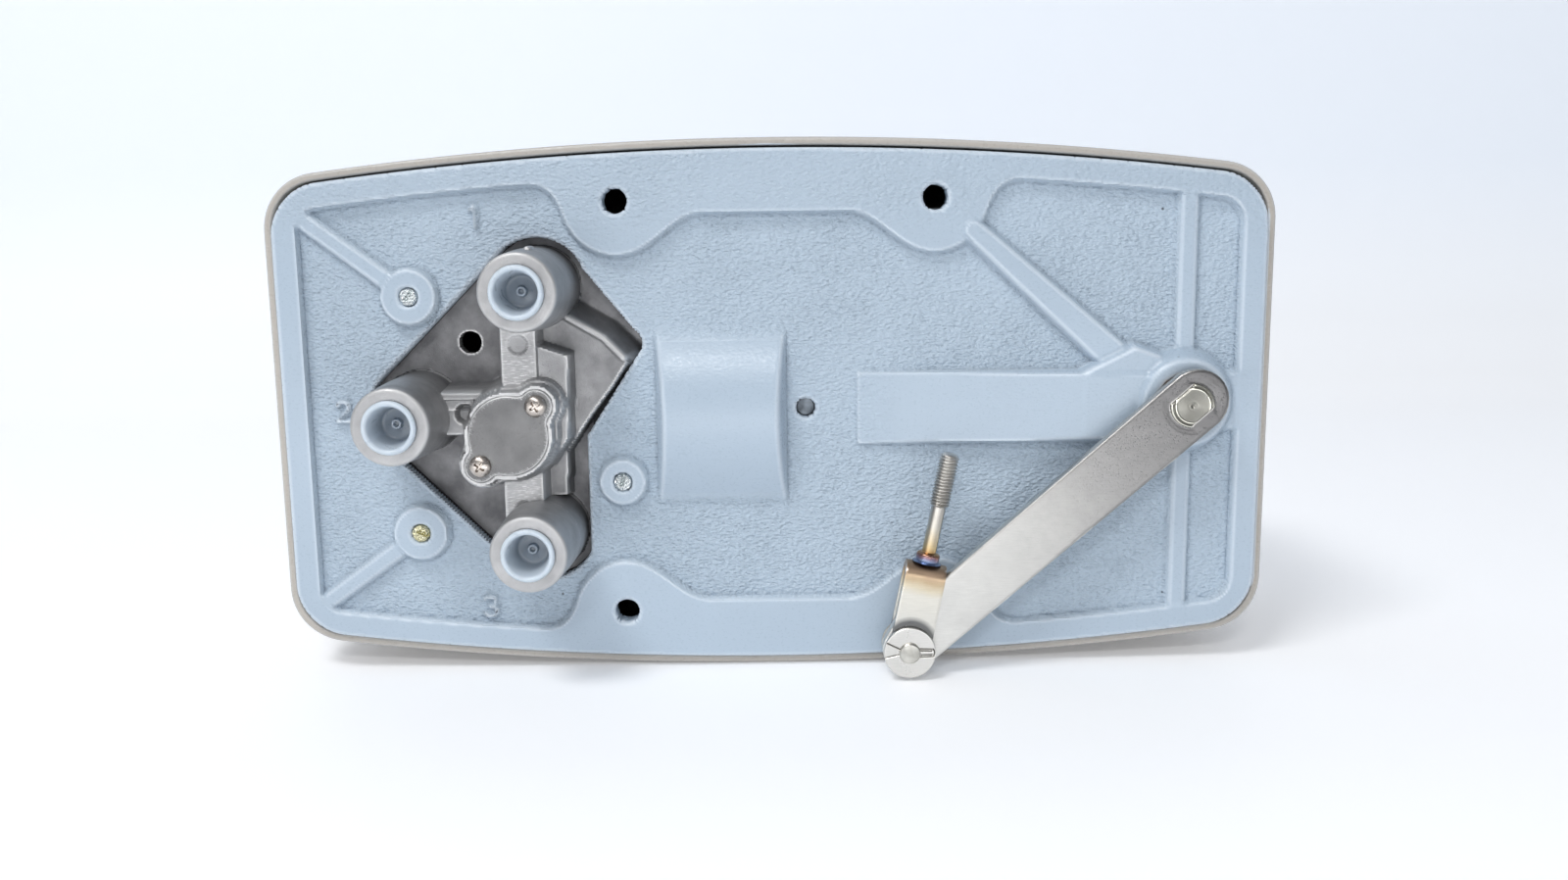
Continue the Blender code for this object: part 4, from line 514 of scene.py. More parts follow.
def manifold_height(x, z):
    """Height of the manifold over the mounting face: arms, block, wedge and cap seat on a flange."""
    parts = []
    for tx, tz in TOWERS:
        parts.append(cast(np.hypot(x - tx, z - tz) - 0.0117, 0.0050, 14.0, 0.0010, -FLANGE))
    up = to_rod(x, z, (-0.0712, 0.0350), (-0.0712, -0.0046), 0.0050, 0.0050)
    down = to_rod(x, z, (-0.0712, -0.0350), (-0.0712, -0.0046), 0.0055, 0.0055)
    left = to_rod(x, z, (-0.1024, 0.0008), (-0.0738, 0.0008), 0.0060, 0.0060)
    parts.append(raised(up, 0.0080, 12.0, 0.0008))
    parts.append(raised(down, 0.0078, 12.0, 0.0008))
    parts.append(raised(left, 0.0072, 12.0, 0.0007))
    block = to_outline(x, z, np.array([(-0.0577, 0.0167), (-0.0662, 0.0196), (-0.0755, 0.0160),
                                         (-0.0755, -0.0120), (-0.0635, -0.0140), (-0.0584, -0.0065)]))
    parts.append(raised(block, 0.0070, 9.0, 0.0008))
    wedge = np.array([(-0.0605, 0.0284), (-0.0484, 0.0214), (-0.0426, 0.0153), (-0.0421, 0.0140),
                      (-0.0466, 0.0070), (-0.0526, -0.0008), (-0.0597, -0.0112), (-0.0604, -0.0240),
                      (-0.0680, -0.0240), (-0.0680, 0.0285)])
    parts.append(raised(to_outline(x, z, wedge), -0.0001, 14.0, 0.0008))
    rim = np.array([(-0.0600, 0.0276), (-0.0487, 0.0209), (-0.0433, 0.0153)])
    edge = np.minimum(to_rod(x, z, rim[0], rim[1], 0.0006, 0.0006), to_rod(x, z, rim[1], rim[2], 0.0006, 0.0006))
    parts.append(cast(edge - 0.0006, 0.0006, 2.0, 0.0006, -0.0004))
    parts.append(raised(cap_outline(x, z, 0.0121, 0.0057), CAP_FACE, 16.0, 0.0005))
    parts.append(raised(cap_outline(x, z, 0.0132, 0.0070), 0.0100, 9.0, 0.0040))
    height = np.full(x.shape, -FLANGE)
    for part in parts:
        height = higher(height, part, 0.0010)
    for line in (0.0052, 0.0021):
        ridge = to_rod(x, z, (-0.0930, line), (-0.0800, line), 0.0004, 0.0004)
        height = higher(height, cast(ridge, 0.0079, 8.0, 0.0004, 0.0060), 0.0003)
    recess = cap_outline(x, z, 0.0107, 0.0042)
    height = lower(height, CAP_FACE - 0.0012 + np.maximum(recess, 0) * 3.5, 0.0002)
    for mx, mz, deep in ((-0.0712, 0.0199, 0.0005), (-0.0712, -0.0266, 0.0005), (-0.0868, 0.0008, 0.0030)):
        mark = np.hypot(x - mx, z - mz) - 0.0026
        height = height - deep * np.clip(0.5 - mark / 0.0004, 0, 1)
    return height


def manifold_voids(x, z):
    """Distance into the metal from the flange's edge or from the vent."""
    edge = np.array([(-0.1028, 0.0330), (-0.1030, -0.0346), (-0.0740, -0.0440), (-0.0600, -0.0440),
                     (-0.0445, -0.0204), (-0.0425, 0.0190), (-0.0600, 0.0440), (-0.0740, 0.0440)])
    metal = np.maximum(0.0062 - to_outline(x, z, edge), 0.0158 - to_outline(x, z, TOWERS))
    return np.minimum(metal, np.hypot(x - VENT[0], z - VENT[1]) - 0.00325)


def bare_casting(name, colour, dark, grain, rough):
    """Raw aluminium from the mould: a grey skin, painted darker towards the deep flange as painted shade.

    Cloudy oxide of about 8 mm and a sandy grain of 0.4 mm; a cutter has left bright slanting
    streaks on the arms' faces, and edges that stand proud are scuffed brighter.
    """
    material, shader = finish_named(name)
    where = node(material, "TexCoord").outputs["Object"]
    level = node(material, "SeparateXYZ", {0: where}).outputs["Y"]
    deep = node(material, "MapRange", {0: level, 1: -0.008, 2: 0.007}, clamp=True).outputs[0]
    cloud = node(material, "TexNoise", {"Vector": where, "Scale": 120.0, "Detail": 5.0, "Roughness": 0.6}).outputs[0]
    cloud = node(material, "MapRange", {0: cloud, 1: 0.35, 2: 0.68}, clamp=True).outputs[0]
    # Oxide clouds plus painted shade: the colour darkens towards the deep flange.
    oxide_and_shade = node(material, "Math", {0: cloud, 1: 0.45, 2: deep}, operation="MULTIPLY_ADD").outputs[0]
    oxide_and_shade = node(material, "Math", {0: oxide_and_shade, 1: 0.72}, operation="MULTIPLY", use_clamp=True).outputs[0]
    tone = node(material, "Mix", {0: oxide_and_shade, 6: linear(colour), 7: linear(dark)}, data_type="RGBA").outputs[2]
    proud = node(material, "NewGeometry").outputs["Pointiness"]
    proud = node(material, "MapRange", {0: proud, 1: 0.505, 2: 0.545}, clamp=True).outputs[0]
    tone = node(material, "Mix", {0: proud, 6: tone, 7: linear("CFCFCF")}, data_type="RGBA").outputs[2]
    flat = node(material, "Math", {0: level, 1: -0.0079, 2: 0.0003}, operation="COMPARE").outputs[0]
    lain = node(material, "Mapping", {"Vector": where, "Rotation": (0, 0.5, 0), "Scale": (420.0, 900.0, 5200.0)})
    milled = node(material, "TexNoise", {"Vector": lain.outputs[0], "Scale": 1.0, "Detail": 2.0}).outputs[0]
    milled = node(material, "MapRange", {0: milled, 1: 0.55, 2: 0.68}, clamp=True).outputs[0]
    milled = node(material, "Math", {0: milled, 1: flat}, operation="MULTIPLY").outputs[0]
    tone = node(material, "Mix", {0: milled, 6: tone, 7: linear("E4E4E4")}, data_type="RGBA").outputs[2]
    wire(material, tone, shader.inputs["Base Color"])
    sand = node(material, "TexNoise", {"Vector": where, "Scale": grain, "Detail": 3.0, "Roughness": 0.6}).outputs[0]
    pits = node(material, "TexVoronoi", {"Vector": where, "Scale": grain * 0.3}).outputs["Distance"]
    pits = node(material, "MapRange", {0: pits, 1: 0.0, 2: 0.22}, clamp=True).outputs[0]
    relief_of = node(material, "Math", {0: pits, 1: 0.6, 2: sand}, operation="MULTIPLY_ADD").outputs[0]
    lumps = node(material, "Bump", {"Height": relief_of, "Strength": 0.45, "Distance": 0.0003})
    wire(material, lumps.outputs[0], shader.inputs["Normal"])
    gloss = node(material, "MapRange", {0: cloud, 3: rough, 4: rough + 0.14}).outputs[0]
    wire(material, gloss, shader.inputs["Roughness"])
    shader.inputs["Metallic"].default_value = 0.85
    return material


raw_aluminium = bare_casting("raw_aluminium_casting", "B3B3B4", "6E6E70", 2600.0, 0.42)
points, faces = relief(0.00045, (-0.1190, -0.0352), (-0.0512, 0.0512), manifold_voids, manifold_height,
                       lambda x, z: 0.0121 + 0 * x)
manifold = shape("port_manifold", points, faces, raw_aluminium)
manifold.data.set_sharp_from_angle(angle=math.radians(50))
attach(manifold, "housing")
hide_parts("manifold")


def revolved(name, path, centre, material, steps=96):
    """A turned piece: radius and depth of the path carried round an axis along Y."""
    angle = np.arange(steps) * 2 * math.pi / steps
    r, y = path[:, :1], path[:, 1:]
    points = np.stack(np.broadcast_arrays(centre[0] + r * np.cos(angle), y, centre[1] + r * np.sin(angle)), -1)
    return welded(shape(name, points.reshape(-1, 3), quads(len(path), steps, round_columns=True), material))


tower_path = softened([(0.0119, 0.0080), (0.0116, 0.0060), (0.0112, -0.0120), (0.0107, -0.0212), (0.0105, -0.0260),
                       (0.0072, -0.0260), (0.00685, -0.0257), (0.00685, -0.0141), (0.0024, -0.0120), (0.0024, 0.0080),
                       (0.0119, 0.0080)], [0.0005, 0.003, 0.002, 0.0012, 0.0002, 0.0002, 0.0006, 0.0004, 0.0004], 6)
for number, centre in enumerate(TOWERS):
    tower = revolved("port_tower_%d" % number, tower_path, centre, raw_aluminium)
    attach(tower, "housing")
    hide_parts("manifold")
nub = revolved("ejector_nub", softened([(0, -0.0162), (0.0012, -0.0158), (0.0013, -0.0100), (0, -0.0100)], 0.0007),
               (-0.0660, 0.0456), raw_aluminium, 32)
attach(nub, "housing")
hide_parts("manifold")

# Port plugs: soft polyethylene caps pushed into the ports, milky and slightly blue, with a
# moulded ring at the bottom of the cup.


def milky_plastic(name, colour):
    """Natural polyethylene: light sinks in and comes back soft, over faint mould swirls."""
    material, shader = finish_named(name)
    where = node(material, "TexCoord").outputs["Object"]
    swirl = node(material, "TexNoise", {"Vector": where, "Scale": 180.0, "Detail": 3.0, "Distortion": 1.5}).outputs[0]
    depth = node(material, "SeparateXYZ", {0: where}).outputs["Y"]
    # Painted shade: the cup is painted darker towards its bottom.
    inside = node(material, "MapRange", {0: depth, 1: -0.0265, 2: -0.0170}, clamp=True).outputs[0]
    tone = node(material, "Mix", {0: inside, 6: linear(colour), 7: linear("87919C")}, data_type="RGBA").outputs[2]
    value = node(material, "MapRange", {0: swirl, 1: 0.3, 2: 0.7, 3: 0.96, 4: 1.04}).outputs[0]
    tone = node(material, "HueSaturation", {"Value": value, "Color": tone}).outputs[0]
    wire(material, tone, shader.inputs["Base Color"])
    gloss = node(material, "MapRange", {0: swirl, 3: 0.22, 4: 0.36}).outputs[0]
    wire(material, gloss, shader.inputs["Roughness"])
    fine = node(material, "TexNoise", {"Vector": where, "Scale": 900.0, "Detail": 2.0}).outputs[0]
    wire(material, node(material, "Bump", {"Height": fine, "Strength": 0.12, "Distance": 0.0002}).outputs[0],
         shader.inputs["Normal"])
    shader.inputs["Subsurface Weight"].default_value = 0.22
    shader.inputs["Subsurface Radius"].default_value = (0.0016, 0.0018, 0.0022)
    shader.inputs["Subsurface Scale"].default_value = 1.0
    shader.inputs["IOR"].default_value = 1.51
    return material


plug_plastic = milky_plastic("milky_polyethylene", "C6D1DB")
plug_path = softened([(0, -0.0182), (0.0006, -0.0182), (0.0008, -0.0196), (0.0013, -0.0196), (0.0015, -0.0180),
                      (0.0044, -0.0176), (0.0052, -0.0240), (0.0058, -0.0272), (0.0066, -0.0276), (0.0073, -0.0270),
                      (0.0073, -0.0263), (0.0067, -0.0262), (0.0063, -0.0160), (0, -0.0160)],
                     [0.0002, 0.0001, 0.0001, 0.0002, 0.0009, 0.0006, 0.0006, 0.0005, 0.0004, 0.0002, 0.0001,
                      0.0006], 5)
for name, centre in zip(("output", "instrument", "supply"), TOWERS):
    plug = revolved("plug_" + name, plug_path, centre, plug_plastic)
    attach(plug, "housing")
    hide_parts("port_plug_" + name)

# Filter cap: a die-cast plate let into the manifold, held by two nickel-plated screws with
# cross slots.

CAP_DISC, CAP_EAR, CAP_EDGE = 0.0110, 0.0045, 0.0003


def cap_height(x, z):
    """A flat plate whose edge rolls off over a third of a millimetre."""
    drop = np.clip(1 + cap_outline(x, z, CAP_DISC, CAP_EAR) / CAP_EDGE, 0, 1)
    return CAP_FACE + CAP_EDGE - CAP_EDGE * (1 - np.sqrt(1 - drop ** 2 * 0.98))


def cap_voids(x, z):
    """Distance into the plate from its edge or from a screw's hole."""
    metal = -cap_outline(x, z, CAP_DISC, CAP_EAR)
    for sx, sz in CAP_SCREWS:
        metal = np.minimum(metal, np.hypot(x - sx, z - sz) - 0.0018)
    return metal


points, faces = relief(0.0002, (-0.0880, -0.0600), (-0.0190, 0.0095), cap_voids, cap_height,
                       lambda x, z: -0.0126 + 0 * x)
cap_skin = bare_casting("tumbled_aluminium_cap", "7E7E7E", "57575A", 1900.0, 0.36)
cap = shape("filter_cap_plate", points, faces, cap_skin)
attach(cap, "housing")
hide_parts("filter_cap")


def plated(name, colour, dull, rough):
    """Bright plating over a cold-headed blank: soft waviness, fine scratches, dull in random clouds."""
    material, shader = finish_named(name)
    where = node(material, "TexCoord").outputs["Object"]
    stain = node(material, "TexNoise", {"Vector": where, "Scale": 520.0, "Detail": 4.0}).outputs[0]
    tone = node(material, "Mix", {0: stain, 6: linear(colour), 7: linear(dull)}, data_type="RGBA").outputs[2]
    wire(material, tone, shader.inputs["Base Color"])
    stretched = node(material, "Mapping", {"Vector": where, "Scale": (900.0, 900.0, 5200.0),
                                           "Rotation": (0, 0.6, 0)}).outputs[0]
    scratch = node(material, "TexNoise", {"Vector": stretched, "Scale": 1.0, "Detail": 3.0}).outputs[0]
    wire(material, node(material, "Bump", {"Height": scratch, "Strength": 0.20, "Distance": 0.0001}).outputs[0],
         shader.inputs["Normal"])
    gloss = node(material, "MapRange", {0: stain, 1: 0.3, 2: 0.7, 3: rough, 4: rough + 0.16}).outputs[0]
    wire(material, gloss, shader.inputs["Roughness"])
    shader.inputs["Metallic"].default_value = 1.0
    return material


def driven_head(name, centre, seat, turn, material):
    """A pan head with a cross slot: depth over radius and angle, a dome less two tapered slots."""
    r = np.concatenate([np.linspace(0, 0.0030, 30), [0.0030, 0.0015, 0.0015, 0.0]])[:, None]
    angle = np.linspace(0, 2 * math.pi, 97)[None, :-1]
    a, b = r * np.cos(angle - turn), r * np.sin(angle - turn)
    dome = seat - 0.0018 * np.sqrt(np.clip(1 - (r / 0.0031) ** 3.0, 0, 1))
    across, along = np.minimum(np.abs(a), np.abs(b)), np.maximum(np.abs(a), np.abs(b))
    slot = np.clip((0.00034 - across) / 0.00012, 0, 1) * np.clip((0.0016 - along) / 0.0004, 0, 1)
    slot = np.maximum(slot, np.clip((0.0006 - r) / 0.0002, 0, 1))
    y = dome + 0.0010 * slot
    y[30:] = np.array([seat, seat, seat + 0.008, seat + 0.008])[:, None]
    points = np.stack([centre[0] + r * np.cos(angle), y, centre[1] + r * np.sin(angle)], -1)
    return welded(shape(name, points.reshape(-1, 3), quads(34, 96, round_columns=True), material), 50)


nickel = plated("bright_nickel_plating", "CFCAC5", "A89D93", 0.20)
for number, (centre, turn) in enumerate(zip(CAP_SCREWS, (0.55, 0.95)), 1):
    head = driven_head("cap_screw_%d" % number, centre, -0.0138, turn, nickel)
    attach(head, "housing")
    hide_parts("filter_cap_screw_%d" % number)

# Manifold screws: their tips stand a little proud of the bosses, each cut off with a ragged
# slot that the shears left.


def sheared_tip(name, centre, turn, material, seed):
    """A screw's end seen head on: a chamfered disc with an off-centre gash and torn edges."""
    r = np.concatenate([np.linspace(0, 0.0023, 22), [0.0025, 0.0025, 0.0042, 0.0042, 0.0]])[:, None]
    angle = np.linspace(0, 2 * math.pi, 73)[None, :-1]
    a, b = r * np.cos(angle - turn), r * np.sin(angle - turn)
    torn = 0.00016 * np.sin(a * 5200 + seed) * np.cos(b * 4100 - seed) + 0.00010 * np.sin(b * 9000 + 2 * seed)
    gash = np.clip((0.00045 + torn - np.abs(b - 0.0002)) / 0.0002, 0, 1) * np.clip((a + 0.0012) / 0.0004, 0, 1)
    y = -0.0006 + torn + 0.0007 * gash + 0.0003 * np.clip((r - 0.0018) / 0.0004, 0, 1)
    y[22:] = np.array([0.0002, 0.0125, 0.0125, 0.0156, 0.0156])[:, None]
    points = np.stack([centre[0] + r * np.cos(angle), y, centre[1] + r * np.sin(angle)], -1)
    return welded(shape(name, points.reshape(-1, 3), quads(27, 72, round_columns=True), material), 50)


cut_zinc = plated("cut_zinc_plating", "F2F5F5", "A3ACAE", 0.20)
yellow_zinc = plated("yellow_zinc_plating", "EDE9CC", "ABA67F", 0.22)
for number, (centre, turn) in enumerate(zip(MANIFOLD_SCREWS, (0.9, -0.4, 1.3)), 1):
    tip = sheared_tip("boss_screw_%d" % number, centre, turn, yellow_zinc if number == 2 else cut_zinc, number * 1.7)
    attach(tip, "housing")
    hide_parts("manifold_screw_%d" % number)

# Feedback lever: a strip of stainless steel, stamped with rounded edges, dull and pitted near
# the shaft and bright towards its end. The shaft's flatted end comes through and is staked.

LEVER_TURN = math.radians(180 + 41.3)
LEVER_FACE, LEVER_BACK = -0.0112, -0.0080
LEVER_LENGTH, LEVER_NEAR_RADIUS, LEVER_FAR_RADIUS = 0.1036, 0.0087, 0.0073
SHAFT_RADIUS, SHAFT_FLAT = 0.0060, 0.0042


def double_d(a, w, grow):
    """Distance to the shaft's end: a circle of 6 mm cut by two flats along the lever."""
    return np.maximum(np.hypot(a, w) - SHAFT_RADIUS, np.abs(w) - SHAFT_FLAT) - grow


def lever_shape(a, w):
    """Distance to the lever: the hull of one large round end and a narrower far one."""
    near, side, far = (-0.0020, 0.0), (0.0996, -0.0014), (LEVER_LENGTH, 0.0)
    first = to_rod(a, w, near, side, LEVER_NEAR_RADIUS, LEVER_FAR_RADIUS)
    second = to_rod(a, w, near, far, LEVER_NEAR_RADIUS, LEVER_FAR_RADIUS)
    return np.minimum(np.minimum(first, second), to_rod(a, w, side, far, LEVER_FAR_RADIUS, LEVER_FAR_RADIUS))


def lever_height(a, w):
    """A flat face rolled off at its edges, a little hollow, with staking grooves at the shaft."""
    roll = np.clip(1 + lever_shape(a, w) / 0.0007, 0, 1)
    height = -LEVER_FACE - 0.0005 * (1 - np.sqrt(1 - roll ** 2 * 0.96))
    ends = np.clip((np.abs(a) - 0.0030) / 0.0010, 0, 1)
    for radius, deep in ((0.0066, 0.00022), (0.0075, 0.00010)):
        groove = np.abs(np.hypot(a, w) - radius) / 0.0003
        height = height - deep * np.exp(-groove ** 2) * ends
    return height


def along_lever(points):
    """Points of the lever's own plane, set in place on the shaft's axis."""
    a, w = points[:, 0], points[:, 2]
    x = SHAFT[0] + a * math.cos(LEVER_TURN) - w * math.sin(LEVER_TURN)
    z = SHAFT[1] + a * math.sin(LEVER_TURN) + w * math.cos(LEVER_TURN)
    return np.stack([x, points[:, 1], z], -1)


def satin_stainless(name, ends, colours, rough, pits, stain=0.35, reflection_centre=None, wear_and_edge_light=0.7):
    """Rolled stainless strip, its shade changing along a line between two points.

    Rolling grain runs along the line, 0.1 mm wide; cloudy stains of 5 mm, and pits where the
    strip was handled most, which is at the start of the line. Convex edges are painted pale as a
    painted highlight and concave edges dark as painted shade. Round a point given for a ring, the
    steel is painted dark: a painted reflection of the ring's shaded back.
    """
    material, shader = finish_named(name)
    where = node(material, "TexCoord").outputs["Object"]
    start, end = [Vector((x, 0, z)) for x, z in ends]
    line = (end - start) / (end - start).length_squared
    offset = node(material, "VectorMath", {0: where, 1: start}, operation="SUBTRACT").outputs[0]
    share = node(material, "VectorMath", {0: offset, 1: line}, operation="DOT_PRODUCT").outputs["Value"]
    cloud = node(material, "TexNoise", {"Vector": where, "Scale": 130.0, "Detail": 6.0, "Roughness": 0.62}).outputs[0]
    drift = node(material, "Math", {0: cloud, 1: stain, 2: share}, operation="MULTIPLY_ADD").outputs[0]
    drift = node(material, "Math", {0: drift, 1: stain / 2}, operation="SUBTRACT").outputs[0]
    ramp = node(material, "ValToRGB", {0: drift})
    for i, (place, colour) in enumerate(colours):
        stop = ramp.color_ramp.elements[i] if i < 2 else ramp.color_ramp.elements.new(place)
        stop.position, stop.color = place, linear(colour)
    flecks = node(material, "TexVoronoi", {"Vector": where, "Scale": 1500.0}).outputs["Distance"]
    flecks = node(material, "MapRange", {0: flecks, 1: 0.05, 2: 0.30}, clamp=True).outputs[0]
    near = node(material, "MapRange", {0: drift, 1: 0.0, 2: 0.55, 3: pits, 4: pits * 0.15}, clamp=True).outputs[0]
    turn = math.atan2(end.z - start.z, end.x - start.x)
    lain = node(material, "Mapping", {"Vector": where, "Rotation": (0, turn, 0), "Scale": (260.0, 1800.0, 5200.0)})
    grain = node(material, "TexNoise", {"Vector": lain.outputs[0], "Scale": 1.0, "Detail": 4.0,
                                        "Roughness": 0.6}).outputs[0]
    hole = node(material, "Math", {0: flecks, 1: near}, operation="MULTIPLY").outputs[0]
    height = node(material, "Math", {0: grain, 1: 0.55, 2: hole}, operation="MULTIPLY_ADD").outputs[0]
    bump = node(material, "Bump", {"Height": height, "Strength": 0.02 + 0.4 * wear_and_edge_light, "Distance": 0.00018})
    wire(material, bump.outputs[0], shader.inputs["Normal"])
    dim = node(material, "MapRange", {0: grain, 1: 0.3, 2: 0.7, 3: 0.93, 4: 1.05}).outputs[0]
    tone = node(material, "HueSaturation", {"Value": dim, "Color": ramp.outputs[0]}).outputs[0]
    # Painted light from the mesh's pointiness: convex edges painted pale as a painted highlight, concave edges
    # painted dark as painted shade.
    bend = node(material, "NewGeometry").outputs["Pointiness"]
    proud = node(material, "MapRange", {0: bend, 1: 0.53, 2: 0.60, 3: 0.0, 4: wear_and_edge_light}, clamp=True).outputs[0]
    tone = node(material, "Mix", {0: proud, 6: tone, 7: linear("F2F0EA")}, data_type="RGBA").outputs[2]
    hollow_edge_shade = node(material, "MapRange", {0: bend, 1: 0.49, 2: 0.44, 3: 0.0, 4: wear_and_edge_light * 1.2}, clamp=True).outputs[0]
    tone = node(material, "Mix", {0: hollow_edge_shade, 6: tone, 7: linear("4E4A45")}, data_type="RGBA").outputs[2]
    # Painted reflection: a dark halo round the given point, standing for the ring mirrored in the steel.
    if reflection_centre:
        away = node(material, "VectorMath", {0: where, 1: reflection_centre}, operation="SUBTRACT").outputs[0]
        away = node(material, "VectorMath", {0: away, 1: (1, 0, 1)}, operation="MULTIPLY").outputs[0]
        away = node(material, "VectorMath", {0: away}, operation="LENGTH").outputs["Value"]
        away = node(material, "MapRange", {0: away, 1: 0.0066, 2: 0.0082, 3: 0.85, 4: 0.0}, clamp=True).outputs[0]
        tone = node(material, "Mix", {0: away, 6: tone, 7: linear("4B4D50")}, data_type="RGBA").outputs[2]
    wire(material, tone, shader.inputs["Base Color"])
    gloss = node(material, "MapRange", {0: cloud, 1: 0.3, 2: 0.7, 3: rough, 4: rough + 0.12}).outputs[0]
    wire(material, gloss, shader.inputs["Roughness"])
    shader.inputs["Metallic"].default_value = 1.0
    return material


far_end = tuple(along_lever(np.array([[LEVER_LENGTH, 0, 0]]))[0][[0, 2]])
lever_steel = satin_stainless("satin_lever_stainless", (SHAFT, far_end),
                              ((0.0, "757474"), (1.0, "D8D7D3"), (0.28, "8E8D8C"), (0.55, "B5B4B1")), 0.30, 1.3)
points, faces = relief(0.0004, (-0.0112, 0.1114), (-0.0092, 0.0092),
                       lambda a, w: np.minimum(-lever_shape(a, w), double_d(a, w, 0.0001)), lever_height,
                       lambda a, w: LEVER_BACK + 0 * a)
count = len(points)
back = points.copy()
back[:, 1] = LEVER_BACK
top = faces[(points[faces][:, :, 1] < LEVER_BACK - 0.001).all(axis=1)]
lever = shape("feedback_lever_strip", along_lever(np.concatenate([points, back])),
              np.concatenate([faces, top[:, ::-1] + count]), lever_steel)
welded(lever, 50)
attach(lever, "feedback_lever")
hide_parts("lever")


def turned_face(name, colour, centre, rough, burr_highlight_radii=()):
    """A faced bar end: tool rings 0.12 mm apart round the centre, and bright rings painted at the given burr radii
    where it is staked, as painted highlights.
    """
    material, shader = finish_named(name)
    where = node(material, "TexCoord").outputs["Object"]
    flat = node(material, "VectorMath", {0: where, 1: (centre[0], 0, centre[1])}, operation="SUBTRACT").outputs[0]
    flat = node(material, "VectorMath", {0: flat, 1: (1, 0, 1)}, operation="MULTIPLY").outputs[0]
    radius = node(material, "VectorMath", {0: flat}, operation="LENGTH").outputs["Value"]
    wave = node(material, "Math", {0: radius, 1: 52000.0}, operation="MULTIPLY").outputs[0]
    wave = node(material, "Math", {0: wave}, operation="SINE").outputs[0]
    stain = node(material, "TexNoise", {"Vector": where, "Scale": 420.0, "Detail": 4.0}).outputs[0]
    height = node(material, "Math", {0: stain, 1: 1.2, 2: wave}, operation="MULTIPLY_ADD").outputs[0]
    wire(material, node(material, "Bump", {"Height": height, "Strength": 0.16, "Distance": 0.00006}).outputs[0],
         shader.inputs["Normal"])
    tone = node(material, "Mix", {0: stain, 6: linear(colour), 7: linear("8E8C84")}, data_type="RGBA").outputs[2]
    # Painted highlights: a thin bright ring painted at each burr radius.
    for burr in burr_highlight_radii:
        ring = node(material, "Math", {0: radius, 1: burr, 2: 0.00016}, operation="COMPARE").outputs[0]
        tone = node(material, "Mix", {0: ring, 6: tone, 7: linear("FAF8EA")}, data_type="RGBA").outputs[2]
    wire(material, tone, shader.inputs["Base Color"])
    wire(material, node(material, "MapRange", {0: stain, 3: rough, 4: rough + 0.12}).outputs[0],
         shader.inputs["Roughness"])
    shader.inputs["Metallic"].default_value = 1.0
    return material


def shaft_face(a, w):
    """The shaft's end: flat with a centre mark, and a burr raised along its two round sides."""
    r = np.hypot(a, w)
    height = 0.0120 - 0.0005 * np.clip(1 - r / 0.0007, 0, 1) - 0.00006 * np.exp(-((r - 0.0012) / 0.0003) ** 2)
    burr = np.exp(-((r - 0.0047) / 0.00022) ** 2) - 1.6 * np.exp(-((r - 0.00525) / 0.0002) ** 2)
    height = height + 0.00022 * burr * np.clip((np.abs(a) - 0.0024) / 0.0008, 0, 1)
    return height - 0.0004 * np.clip(1 + double_d(a, w, 0.0) / 0.0004, 0, 1)


def machined(name, colour, dark, rough, metallic=1.0):
    """Cut metal or moulded rubber: a dull film in clouds of 3 mm over fine crossed tool marks."""
    material, shader = finish_named(name)
    where = node(material, "TexCoord").outputs["Object"]
    film = node(material, "TexNoise", {"Vector": where, "Scale": 330.0, "Detail": 5.0}).outputs[0]
    film = node(material, "MapRange", {0: film, 1: 0.35, 2: 0.7}, clamp=True).outputs[0]
    tone = node(material, "Mix", {0: film, 6: linear(colour), 7: linear(dark)}, data_type="RGBA").outputs[2]
    wire(material, tone, shader.inputs["Base Color"])
    lain = node(material, "Mapping", {"Vector": where, "Scale": (4200.0, 700.0, 1500.0)}).outputs[0]
    marks = node(material, "TexNoise", {"Vector": lain, "Scale": 1.0, "Detail": 3.0}).outputs[0]
    wire(material, node(material, "Bump", {"Height": marks, "Strength": 0.22, "Distance": 0.00012}).outputs[0],
         shader.inputs["Normal"])
    wire(material, node(material, "MapRange", {0: film, 3: rough, 4: rough + 0.15}).outputs[0],
         shader.inputs["Roughness"])
    shader.inputs["Metallic"].default_value = metallic
    return material


points, faces = relief(0.00014, (-0.0062, 0.0062), (-0.0044, 0.0044), lambda a, w: -double_d(a, w, 0.0), shaft_face,
                       lambda a, w: LEVER_BACK + 0 * a)
shaft_end = shape("shaft_end_face", along_lever(points), faces,
                  turned_face("faced_stainless_end", "989791", SHAFT, 0.26, (0.0047, 0.0058)))
shaft_end.data.set_sharp_from_angle(angle=math.radians(50))
shoulder, tail, cam_seat = 0.0276, 0.0398, 0.0040
shaft_path = softened([(0, LEVER_BACK), (SHAFT_RADIUS, LEVER_BACK), (SHAFT_RADIUS, shoulder),
                       (cam_seat, shoulder), (cam_seat, tail), (0, tail)], 0.0003, 4)
shaft_bar = revolved("shaft_bar", shaft_path, SHAFT, machined("ground_shaft_stainless", "C8C5BC", "A09C92", 0.24), 64)
for body in (shaft_end, shaft_bar):
    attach(body, "feedback_lever")
    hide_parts("feedback_shaft")

# Clevis: a strap of stainless steel bent round the lever's end, a threaded rod welded on its
# bend, and a pin through both ears kept by a two-part retaining ring. Welding left the bend
# straw coloured and the collar purple and blue.

PIN = far_end
CLEVIS_LEAN = math.radians(11.75)
LEVER_MIDDLE = (LEVER_FACE + LEVER_BACK) / 2


